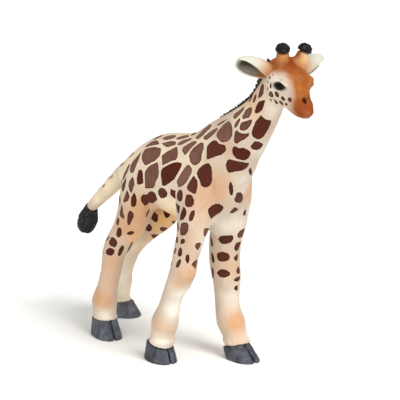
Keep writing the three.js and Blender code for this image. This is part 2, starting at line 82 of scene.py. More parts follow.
to_eye = aim(view_azimuth, view_elevation)
picture_right = Vector((math.cos(math.radians(view_azimuth)), math.sin(math.radians(view_azimuth)), 0))
picture_up = to_eye.cross(picture_right)
eye_place = view_target + to_eye * view_distance
head_turns = Euler([math.radians(angle) for angle in (head_tilt, head_nod, head_turn)], "XYZ")
head_frame = Matrix.Translation(head_place) @ head_turns.to_matrix().to_4x4()
to_head_frame = head_frame.inverted()


def pixels_of(places):
    """Where places on the figure come to lie in the photograph, one row of x and y for each."""
    from_target = places - np.array(view_target)
    depth = view_distance - from_target @ np.array(to_eye)
    scale = photo_size / view_cover * view_distance / depth
    x = photo_size / 2 + from_target @ np.array(picture_right) * scale
    y = photo_size / 2 - from_target @ np.array(picture_up) * scale
    return np.stack([x, y], axis=1)


def ray_through(x, y):
    """The direction from the eye through a pixel of the photograph."""
    side = (x - photo_size / 2) * view_cover / photo_size
    rise = (photo_size / 2 - y) * view_cover / photo_size
    return (view_target + picture_right * side + picture_up * rise - eye_place).normalized()


def mapped(places, matrix):
    """Rows of places, moved by a 4x4 matrix."""
    turned = np.array(matrix.to_3x3())
    return places @ turned.T + np.array(matrix.translation)


# Meshes

def merged_copy(name):
    """A CAD node's mesh in millimetres, with its loose triangles merged."""
    made = bmesh.new()
    made.from_mesh(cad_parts[name].data)
    bmesh.ops.scale(made, vec=(millimetres,) * 3, verts=made.verts)
    bmesh.ops.remove_doubles(made, verts=made.verts, dist=merge_distance)
    return made


def shift(made, moves):
    """Moves each vertex by a vector of its own."""
    for vert, move in zip(made.verts, moves):
        vert.co += move


def grow(made, by):
    """Moves every face outwards."""
    made.normal_update()
    shift(made, [vert.normal * by for vert in made.verts])


def add_to(made, other):
    """Adds one bmesh to another, and frees it."""
    mesh = bpy.data.meshes.new("added")
    other.to_mesh(mesh)
    other.free()
    made.from_mesh(mesh)
    bpy.data.meshes.remove(mesh)


def skin_round(made, voxel):
    """One closed skin round all the solids in a bmesh, made of small even squares."""
    mesh = bpy.data.meshes.new("core")
    made.to_mesh(mesh)
    made.free()
    core = bpy.data.objects.new("core", mesh)
    bpy.context.scene.collection.objects.link(core)
    remesh = core.modifiers.new("skin", "REMESH")
    remesh.mode = "VOXEL"
    remesh.voxel_size = voxel
    evaluated = core.evaluated_get(bpy.context.evaluated_depsgraph_get())
    skin = bmesh.new()
    skin.from_mesh(evaluated.to_mesh())
    evaluated.to_mesh_clear()
    bpy.data.objects.remove(core)
    bpy.data.meshes.remove(mesh)
    return skin


# How far one round of smoothing draws a vertex to the middle of its neighbours
smoothing = 0.5


def soften(made, rounds):
    """Smooths a mesh's vertices towards their neighbours, a few times over."""
    ways = {f"use_axis_{axis}": True for axis in "xyz"}
    for _ in range(rounds):
        bmesh.ops.smooth_vert(made, verts=made.verts, factor=smoothing, **ways)


def connected(parts, neighbours):
    """Faces or edges in groups that hang together."""
    unseen = set(parts)
    groups = []
    while unseen:
        group = [unseen.pop()]
        for part in group:
            found = neighbours(part) & unseen
            unseen -= found
            group.extend(found)
        groups.append(group)
    return groups


def faces_beside(face):
    return {other for edge in face.edges for other in edge.link_faces}


def shells_of(made):
    """The separate shells of a bmesh, each a list of faces, the largest first."""
    return sorted(connected(made.faces, faces_beside), key=len, reverse=True)


def keep_largest(made):
    """Deletes every shell but the one with the most faces, such as the walls of closed hollows."""
    stray = [face for shell in shells_of(made)[1:] for face in shell]
    bmesh.ops.delete(made, geom=stray, context="FACES")


def places_and_normals(made):
    """A bmesh's vertices and their normals as arrays."""
    made.normal_update()
    places = np.array([vert.co[:] for vert in made.verts])
    normals = np.array([vert.normal[:] for vert in made.verts])
    return places, normals


def move_vertices(made, places):
    for vert, place in zip(made.verts, places):
        vert.co = place


def middle_line(name, axis, steps):
    """The middles of a CAD node's slices across an axis, from its low end to its high end."""
    places = np.array([vert.co[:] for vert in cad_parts[name].data.vertices]) * millimetres
    along = places @ np.array(axis)
    edges = np.linspace(along.min(), along.max(), steps + 1)
    slices = [places[(along >= low) & (along <= high)] for low, high in zip(edges, edges[1:])]
    return np.array([(part.min(0) + part.max(0)) / 2 for part in slices if len(part)])


# Pieces

def finish_piece(made, name, nodes, material, levels=0):
    """Turns a bmesh in millimetres into a piece that stands for CAD nodes."""
    bmesh.ops.recalc_face_normals(made, faces=made.faces)
    bmesh.ops.scale(made, vec=(1 / millimetres,) * 3, verts=made.verts)
    for face in made.faces:
        face.smooth = True
    mesh = bpy.data.meshes.new(name)
    made.to_mesh(mesh)
    made.free()
    piece = bpy.data.objects.new(name, mesh)
    bpy.context.scene.collection.objects.link(piece)
    mesh.materials.append(material)
    if levels:
        subdivision = piece.modifiers.new("finer", "SUBSURF")
        subdivision.levels = levels
        subdivision.render_levels = levels
    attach(piece, "root")
    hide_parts(*nodes)
    return piece


# The skin: one closed surface round body, neck, head, legs, tail and horns

skin_voxel = 0.36
skin_rounds = 3
seam_closing = 0.35
trunk = ["torso", "neck", "head", "tail"]
leg_names = ["front_right", "front_left", "rear_right", "rear_left"]
sides = {"right": -1, "left": 1}

# The mane's groove is filled by a copy of the mane that is sunk into the neck.
mane_sink = Vector((1.1, 0, -0.9))

# Only the ear's foot belongs to the skin: how far out it is cut off
ear_foot = 5.4

# A crest joins the feet of the horns: its place and half sizes, in the head's frame
crest_place = (3.2, 0, 4.6)
crest_half = (2.0, 2.4, 2.0)

# The chest runs over into the left front leg: the middle and half sizes of what fills the step
breast_place = calf_shift + Vector((7.9, 3.3, 47.6))
breast_half = (4.8, 4.3, 5.2)
lump_segments = 24
lump_rings = 16


def make_skin():
    """The whole hide as one closed mesh, still without its muscles."""
    core = bmesh.new()
    for name in [*trunk, *(f"{leg}_leg" for leg in leg_names)]:
        add_to(core, merged_copy(name))
    for own_frame, place, half in [
        (head_frame, crest_place, crest_half), (Matrix.Identity(4), breast_place, breast_half)
    ]:
        lump = bmesh.new()
        bmesh.ops.create_uvsphere(lump, u_segments=lump_segments, v_segments=lump_rings, radius=1)
        lump.transform(own_frame @ Matrix.Translation(place) @ Matrix.Diagonal((*half, 1)))
        add_to(core, lump)
    for side in sides:
        add_to(core, merged_copy(f"{side}_horn"))
        add_to(core, merged_copy(f"{side}_eye"))
        foot = merged_copy(f"{side}_ear")
        outward = head_frame.to_3x3() @ Vector((0, sides[side], 0))
        bmesh.ops.bisect_plane(
            foot,
            geom=foot.verts[:] + foot.edges[:] + foot.faces[:],
            plane_co=head_place + outward * ear_foot,
            plane_no=outward,
            clear_outer=True,
        )
        bmesh.ops.holes_fill(foot, edges=foot.edges, sides=0)
        add_to(core, foot)
    ridge = merged_copy("mane")
    bmesh.ops.translate(ridge, vec=mane_sink, verts=ridge.verts)
    add_to(core, ridge)
    grow(core, seam_closing)
    skin = skin_round(core, skin_voxel)
    keep_largest(skin)
    soften(skin, skin_rounds)
    grow(skin, -seam_closing)
    soften(skin, skin_rounds)
    return skin


def surface_at(tree, x, y):
    """The place and normal of the skin under a pixel, or of the skin nearest to the line of sight."""
    direction = ray_through(x, y)
    place, normal, _, _ = tree.ray_cast(eye_place, direction)
    if place is None:
        depth = view_distance / -direction.dot(to_eye)
        place, normal, _, _ = tree.find_nearest(eye_place + direction * depth)
    return place, normal


# Legs, for what is mirrored from one leg to its partner
leg_lines = {leg: middle_line(f"{leg}_leg", (0, 0, 1), 16) for leg in leg_names}
leg_partner = {
    "front_right": "front_left",
    "front_left": "front_right",
    "rear_right": "rear_left",
    "rear_left": "rear_right",
}
leg_reach = 11

# What counts as head: how far behind and below its own middle it goes on, and from what height
# it is mirrored
head_behind = 6
head_below = 24
head_lowest = 85

# Eyes, in the head's frame: half sizes, the place of the left one, and how its long way rises
eye_half = Vector((2.3, 1.2, 1.25))
eye_seat = Vector((9.6, 5.3, 1.0))
eye_rise = 34


def line_at(line, height):
    """The x and y of a leg's middle line at a height."""
    return np.array([np.interp(height, line[:, 2], line[:, axis]) for axis in (0, 1)])


def is_on_head(place):
    return place.x > head_place.x - head_behind and place.z > head_lowest


def mirrored(place, normal):
    """The matching place on the calf's other side, before it is set on the skin."""
    turned = Vector((normal.x, -normal.y, normal.z))
    for leg, line in leg_lines.items():
        here = line_at(line, place.z)
        offset = np.array(place[:2]) - here
        if place.z < line[-1][2] and np.hypot(*offset) < leg_reach:
            there = line_at(leg_lines[leg_partner[leg]], place.z)
            return Vector((there[0] + offset[0], there[1] - offset[1], place.z)), turned
    if is_on_head(place):
        on_head = to_head_frame @ place
        facing = to_head_frame.to_3x3() @ normal
        on_head.y = -on_head.y
        facing.y = -facing.y
        return head_frame @ on_head, head_frame.to_3x3() @ facing
    return Vector((place.x, 2 * middle_y - place.y, place.z)), turned


# A ray to the camera starts a little off the skin: along the normal, and towards the camera
ray_lift = 0.3
ray_start = 0.2

# How far round its edge the skin counts as seen, as the least cosine: for muscles and sprays, the
# twins of spots, and filled-in spots
seen_until = 0.08
twins_from = -0.2
fillers_from = -0.35


def is_seen(tree, place, normal, beyond=seen_until):
    """Whether the camera sees a place on the skin, or with a limit below zero one beyond its edge."""
    toward = (eye_place - place).normalized()
    facing = normal.dot(toward)
    if facing < beyond:
        return False
    if facing < 0:
        return True
    hit = tree.ray_cast(place + normal * ray_lift + toward * ray_start, toward)
    return hit[0] is None


# Muscles: x and y in the photograph, radius and height in millimetres
muscles = [
    (232, 176, 5.5, 0.7),
    (222, 190, 6, 0.5),
    (196, 170, 6, -0.5),
    (213, 150, 5, 0.5),
    (180, 160, 7, 0.25),
    (138, 172, 5, 0.7),
    (150, 190, 4, -0.45),
    (128, 205, 5, 0.5),
    (112, 240, 3.2, 0.5),
    (186, 277, 2.6, 0.5),
    (192, 262, 2.4, -0.25),
    (225, 282, 2.6, 0.5),
    (160, 330, 2.4, 0.35),
    (236, 325, 2.4, 0.35),
    (100, 303, 2.4, 0.35),
    (186, 218, 4, 0.4),
    (204, 212, 3, -0.4),
    (252, 168, 3.5, -1.1),
    (253, 192, 6, 0.35),
    (249, 214, 4, -1.0),
    (252, 150, 3, -0.3),
]

# Folds: pixels along the fold, then its width and depth in millimetres
folds = [
    ([(204, 148), (203, 160), (208, 172), (212, 186)], 1.0, 0.3),
    ([(163, 207), (170, 203), (176, 198)], 0.9, 0.3),
    ([(147, 212), (151, 204), (153, 196)], 0.9, 0.35),
    ([(240, 190), (246, 182), (249, 172)], 0.9, 0.3),
    ([(193, 224), (199, 215), (207, 207)], 0.9, 0.35),
]


# How many radii away a swelling ends
swell_reach = 2.5

# A groove's lips, in widths from its middle: how high, where, and how sharp; how far the groove
# reaches, and how soon it fades where the skin turns away
lip_height = 0.35
lip_place = 1.9
lip_sharpness = 1.4
crease_reach = 4
crease_facing = 1.5


def swell(places, normals, place, normal, radius, height):
    """Raises a soft swelling, or a hollow where the height is below zero."""
    offset = places - np.array(place)
    near = np.flatnonzero((offset**2).sum(1) < (swell_reach * radius) ** 2)
    share = np.exp(-(offset[near] ** 2).sum(1) / radius**2)
    share *= np.clip(normals[near] @ np.array(normal), 0, 1)
    places[near] += normals[near] * (height * share)[:, None]


def line_distance(places, points):
    """How far places are from a line through points."""
    best = np.full(len(places), np.inf)
    for start, end in zip(points, points[1:]):
        run = np.array(end) - np.array(start)
        share = np.clip((places - np.array(start)) @ run / max(run @ run, near_zero), 0, 1)
        gap = np.linalg.norm(places - (np.array(start) + share[:, None] * run), axis=1)
        best = np.minimum(best, gap)
    return best


def crease(places, normals, points, facing, width, depth):
    """Presses a groove with softly raised lips along a line on the skin."""
    centre = np.mean([list(point) for point in points], axis=0)
    span = max(np.linalg.norm(np.array(point) - centre) for point in points) + crease_reach * width
    near = np.flatnonzero(((places - centre) ** 2).sum(1) < span**2)
    gap = line_distance(places[near], points) / width
    profile = lip_height * np.exp(-((gap - lip_place) ** 2) * lip_sharpness) - np.exp(-(gap**2))
    profile *= np.clip(normals[near] @ np.array(facing) * crease_facing, 0, 1)
    places[near] += normals[near] * (depth * profile)[:, None]


# Hard joins that are smoothed before the sculpting: x and y in the photograph, radius, rounds. The
# smoothing has its full strength in the inner part, and fades towards the radius.
join_edge = 1.6
soft_joins = [
    (226, 226, 7.5, 140), (206, 214, 6, 80), (150, 206, 6, 60), (216, 232, 5, 100), (168, 208, 5, 60),
    (250, 176, 5, 50), (97, 196, 4, 40), (206, 168, 5, 40),
]

# The head, in its own frame: place, radius and height of each swelling, on both sides
head_forms = [
    (9.4, 4.6, 4.1, 1.8, 0.2),
    (12.8, 5.2, -1.0, 2.4, -0.4),
    (6.4, 6.4, 2.4, 1.8, -0.25),
    (6.0, 6.2, -3.4, 2.8, 0.3),
    (18.2, 1.7, 2.2, 1.6, 0.2),
    (19.6, 2.6, -3.2, 1.6, 0.45),
    (14.0, 0.0, 3.2, 2.4, -0.2),
    (15.6, 3.6, -1.6, 2.0, -0.25),
]

# Places on the head that are pulled: where, how wide, and the way on the left side. Near the
# head's middle nothing is pulled sideways.
head_pulls = [
    ((18.0, 2.6, 1.4), 2.2, (0, -0.6, 0)),
    ((16.0, 3.6, -3.2), 2.4, (0, 0.75, 0.1)),
    ((19.0, 0.0, -4.6), 2.6, (-0.2, 0, 0.8)),
    ((12.5, 0.0, -6.2), 2.8, (0, 0, 0.8)),
    ((19.8, 3.2, -3.2), 1.6, (-0.35, -0.3, 0.2)),
    ((12.4, 5.0, -0.4), 2.2, (0, -0.7, 0)),
    ((10.0, 5.2, 3.0), 1.6, (0.0, 0.1, 0.1)),
]
pulls_beside = 1.5

# The part of the head with the smallest faces: from how far behind its middle, up to what height
finest_from = -0.5
finest_below = 4.4

# Eyelids and sockets are rings round the eye, whose own edge is at 1. They lie on the head's sides
# alone, and the upper lid is the thicker one.
face_side = 3.5
lid_place = 1.12
lid_width = 0.13
lid_height = 0.12
upper_lid = 1.25
lower_lid = 0.75
socket_place = 1.6
socket_width = 0.4
socket_depth = 0.3
eye_pit = 1.1

# The near nostril's pixel, both nostrils' half length and half width, their depth and their lip
nostril_pixel = (303.9, 100.9)
nostril_half = (1.15, 0.68)
nostril_depth = 1.2
nostril_lip = 0.16
nostril_lip_place = 1.5
nostril_lip_width = 0.4

# The mouth: the left half of its line in the head's frame, and its width, depth and lips
mouth_line = [
    (20.4, 0.0, -3.1), (19.6, 2.4, -3.0), (17.4, 3.2, -3.3), (15.0, 3.5, -3.9), (13.4, 3.7, -4.2),
]
mouth_width = 0.34
mouth_depth = 0.26
mouth_lip = 0.5


def soften_joins(made):
    """Smooths the hard joins between legs and body, on both sides."""
    tree = BVHTree.FromBMesh(made)
    places, _ = places_and_normals(made)
    pairs = np.array([[vert.index for vert in edge.verts] for edge in made.edges])
    spans = []
    for x, y, radius, rounds in soft_joins:
        place, normal = surface_at(tree, x, y)
        spans.append((place, radius, rounds))
        spans.append((tree.find_nearest(mirrored(place, normal)[0])[0], radius, rounds))
    for place, radius, rounds in spans:
        gap = np.linalg.norm(places - np.array(place), axis=1)
        weight = np.clip(join_edge * (1 - gap / radius), 0, 1)
        near_pairs = pairs[(weight[pairs] > 0).any(1)]
        used, ends = np.unique(near_pairs, return_inverse=True)
        ends = ends.reshape(-1, 2)
        both = np.concatenate([ends, ends[:, ::-1]])
        count = np.bincount(both[:, 0], minlength=len(used))[:, None]
        part = places[used]
        share = smoothing * weight[used][:, None]
        for _ in range(rounds):
            total = [np.bincount(both[:, 0], part[both[:, 1], axis], len(used)) for axis in range(3)]
            part = part + share * (np.stack(total, axis=1) / count - part)
        places[used] = part
    move_vertices(made, places)


def refine_face(made):
    """Gives the front of the head four small faces for each one."""
    front = []
    for face in made.faces:
        place = face.calc_center_median()
        if place.x > head_place.x and place.z > head_place.z - head_below:
            on_head = to_head_frame @ place
            if on_head.x > finest_from and on_head.z < finest_below:
                front.append(face)
    edges = list({edge for face in front for edge in face.edges})
    bmesh.ops.subdivide_edges(made, edges=edges, cuts=1, use_grid_fill=True)


def eye_ring(on_head):
    """How far places on the head's left half are from the eye's middle, with 1 at its edge."""
    from_eye = on_head - np.array(eye_seat)
    rise = math.radians(eye_rise)
    along = from_eye[:, 0] * math.cos(rise) + from_eye[:, 2] * math.sin(rise)
    above = from_eye[:, 2] * math.cos(rise) - from_eye[:, 0] * math.sin(rise)
    return np.hypot(along / eye_half.x, above / eye_half.z), above


def nostril_bowl(on_head, tree):
    """How far places on the head's left half are from the nostril's middle, with 1 at its edge."""
    centre = to_head_frame @ surface_at(tree, *nostril_pixel)[0]
    offset = on_head - np.array([centre.x, abs(centre.y), centre.z])
    long_way = np.hypot(offset[:, 0], offset[:, 2]) / nostril_half[0]
    return np.hypot(long_way, offset[:, 1] / nostril_half[1])


def sculpt_head(made, tree):
    """Brows, eyelids, cheeks, nostrils and mouth, the same on both sides."""
    places, normals = places_and_normals(made)
    on_head = mapped(places, to_head_frame)
    side = np.where(on_head[:, 1] < 0, -1, 1)
    on_head[:, 1] = np.abs(on_head[:, 1])
    move = np.zeros(len(places))
    for x, y, z, radius, height in head_forms:
        gap = ((on_head - (x, y, z)) ** 2).sum(1) / radius**2
        move += height * np.exp(-gap)

    ring, above = eye_ring(on_head)
    beside = np.clip(on_head[:, 1] - face_side, 0, 1)
    upper = np.where(above > 0, upper_lid, lower_lid)
    move += beside * lid_height * upper * np.exp(-(((ring - lid_place) / lid_width) ** 2))
    move -= beside * socket_depth * np.exp(-(((ring - socket_place) / socket_width) ** 2))
    move -= beside * eye_pit * np.exp(-(ring**8))

    bowl = nostril_bowl(on_head, tree)
    move += nostril_lip * np.exp(-(((bowl - nostril_lip_place) / nostril_lip_width) ** 2))
    move -= nostril_depth * np.exp(-(bowl**3))

    lips = [to_head_frame @ tree.find_nearest(head_frame @ Vector(point))[0] for point in mouth_line]
    lips = [(lip.x, abs(lip.y), lip.z) for lip in lips]
    gap = line_distance(on_head, lips) / mouth_width
    move += mouth_depth * (mouth_lip * np.exp(-((gap - lip_place) ** 2)) - np.exp(-(gap**2)))

    pulled = on_head.copy()
    to_side = np.ones((len(places), 3))
    to_side[:, 1] = np.clip(on_head[:, 1] / pulls_beside, 0, 1)
    for centre, radius, way in head_pulls:
        share = np.exp(-((on_head - centre) ** 2).sum(1) / radius**2)[:, None]
        pulled += share * (to_side * way)
    pulled[:, 1] *= side
    is_head = (places[:, 2] > head_place.z - head_below) & (places[:, 0] > head_place.x - head_behind)
    places[is_head] = mapped(pulled, head_frame)[is_head]
    places += normals * np.where(is_head, move, 0)[:, None]
    move_vertices(made, places)


# The hair at the foot of each leg: how far it stands out over the hoof, how high the band is and
# where its middle lies, how far it is looked for, the width of its locks and how uneven they are
hem_out = 0.4
hem_height = 0.8
hem_middle = 0.2
hem_reach = 9
hem_above = 3
hem_below = 1
lock_pitch = 1.3
lock_out = 0.8
lock_rise = 0.7


def sculpt_hems(made):
    """Lets the hair at the foot of each leg stand out over the hoof, with a ragged lower edge."""
    places, normals = places_and_normals(made)
    for leg, line in leg_lines.items():
        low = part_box(f"{leg}_leg")[0].z * millimetres
        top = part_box(f"{leg}_hoof")[1].z * millimetres
        middle = line_at(line, top)
        beside = np.hypot(*(places[:, :2] - middle).T)
        near = (beside < hem_reach) & (places[:, 2] < top + hem_above) & (places[:, 2] > low - hem_below)
        for index in np.flatnonzero(near):
            place = Vector(places[index])
            point = Vector((place.x * lock_pitch, place.y * lock_pitch, leg_names.index(leg)))
            lock = noise.noise(point)
            share = math.exp(-(((place.z - top - hem_middle) / hem_height) ** 2))
            places[index] += normals[index] * hem_out * share * (1 + lock_out * lock)
            places[index][2] += lock_rise * lock * share
    move_vertices(made, places)


def sculpt_skin(made):
    """Muscles and folds, on both sides of the calf."""
    soften_joins(made)
    refine_face(made)
    tree = BVHTree.FromBMesh(made)
    sculpt_head(made, tree)
    sculpt_hems(made)
    places, normals = places_and_normals(made)
    for x, y, radius, height in muscles:
        place, normal = surface_at(tree, x, y)
        swell(places, normals, place, normal, radius, height)
        twin, _ = mirrored(place, normal)
        twin, facing, _, _ = tree.find_nearest(twin)
        if not is_seen(tree, twin, facing):
            swell(places, normals, twin, facing, radius, height)
    for pixels, width, depth in folds:
        hits = [surface_at(tree, x, y) for x, y in pixels]
        points = [place for place, _ in hits]
        facing = sum((normal for _, normal in hits), Vector()).normalized()
        crease(places, normals, points, facing, width, depth)
        twins = [tree.find_nearest(mirrored(place, normal)[0]) for place, normal in hits]
        turned = sum((hit[1] for hit in twins), Vector()).normalized()
        crease(places, normals, [hit[0] for hit in twins], turned, width, depth)
    move_vertices(made, places)
    soften(made, 1)


# Seams between the pieces of the hide: a place, the way the outer piece lies, and the reach of the
# cut. The legs' seams are given by their heights.
neck_seam = (calf_shift + Vector((20.98, 0, 76.2)), aim(90, 52), 18)
head_seam = (calf_shift + Vector((38.7, 0, 92.5)), aim(90, 55), 11)
tail_seam = (calf_shift + Vector((-40.9, 0, 55.2)), aim(-90, -31), 5.5)
leg_seams = {"front_right": 44.2, "front_left": 44.2, "rear_right": 45.44, "rear_left": 45.44}
leg_cut = 17
horn_cut = 4.6
horn_seat = (3.9, 3.05, 6.0)
seat_back = 24
seat_flare = 35

# Only faces this near to a seam's plane are cut, and corners nearer than the second number count as
# on it. Of the rings that the cut leaves, a long one is
# taken for nearer than it is, by so much for each of its edges.
cut_depth = 1.5
cut_merge = 0.0005
ring_weight = 0.02


def seams():
    """Every seam as (place, direction, reach)."""
    cuts = [neck_seam, head_seam, tail_seam]
    for leg, height in leg_seams.items():
        x, y = line_at(leg_lines[leg], height)
        cuts.append((Vector((x, y, height)), Vector((0, 0, 1)), leg_cut))
    for side in sides.values():
        along, beside, lift = horn_seat
        lean = Vector((-math.tan(math.radians(seat_back)), side * math.tan(math.radians(seat_flare)), 1))
        place = head_frame @ Vector((along, side * beside, lift))
        cuts.append((place, (head_frame.to_3x3() @ lean).normalized(), horn_cut))
    return cuts


def box_middle(places):
    return (places.min(0) + places.max(0)) / 2


def ring_nearest(edges, place):
    """Of the closed rings that a cut left, the one whose middle is nearest to a place."""
    rings = connected(edges, lambda edge: {other for vert in edge.verts for other in vert.link_edges})

    def gap(ring):
        corners = np.array([vert.co[:] for edge in ring for vert in edge.verts])
        return (Vector(box_middle(corners)) - place).length - len(ring) * ring_weight

    return min(rings, key=gap)


def cut_at_seams(made):
    """Parts the skin at its seams, and closes each piece."""
    for place, direction, reach in seams():
        made.faces.ensure_lookup_table()
        near = []
        for face in made.faces:
            offset = face.calc_center_median() - place
            if abs(offset.dot(direction)) < cut_depth and offset.length < reach:
                near.append(face)
        edges = {edge for face in near for edge in face.edges}
        verts = {vert for face in near for vert in face.verts}
        cut = bmesh.ops.bisect_plane(
            made, geom=[*near, *edges, *verts], plane_co=place, plane_no=direction, dist=cut_merge
        )
        cut_edges = [part for part in cut["geom_cut"] if isinstance(part, bmesh.types.BMEdge)]
        bmesh.ops.split_edges(made, edges=ring_nearest(cut_edges, place))
    open_edges = [edge for edge in made.edges if edge.is_boundary]
    for edge in open_edges:
        edge.smooth = False
    bmesh.ops.holes_fill(made, edges=open_edges, sides=0)


def part_for(made, shell):
    """A copy of a bmesh with only the faces of one of its shells."""
    kept = {face.index for face in shell}
    copy = made.copy()
    copy.faces.ensure_lookup_table()
    bmesh.ops.delete(copy, geom=[face for face in copy.faces if face.index not in kept], context="FACES")
    return copy


def parts_of_skin(made):
    """The pieces of the parted skin, each under the name of the CAD node nearest to its middle."""
    made.faces.index_update()
    wanted = [*trunk, *(f"{side}_horn" for side in sides), *(f"{leg}_leg" for leg in leg_names)]
    middles = {name: (sum(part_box(name), Vector()) / 2) * millimetres for name in wanted}
    parts = {}
    for shell in shells_of(made)[: len(wanted)]:
        corners = np.array([vert.co[:] for face in shell for vert in face.verts])
        centre = Vector(box_middle(corners))
        name = min(middles, key=lambda node: (middles[node] - centre).length)
        parts[name] = part_for(made, shell)
        del middles[name]
    return parts


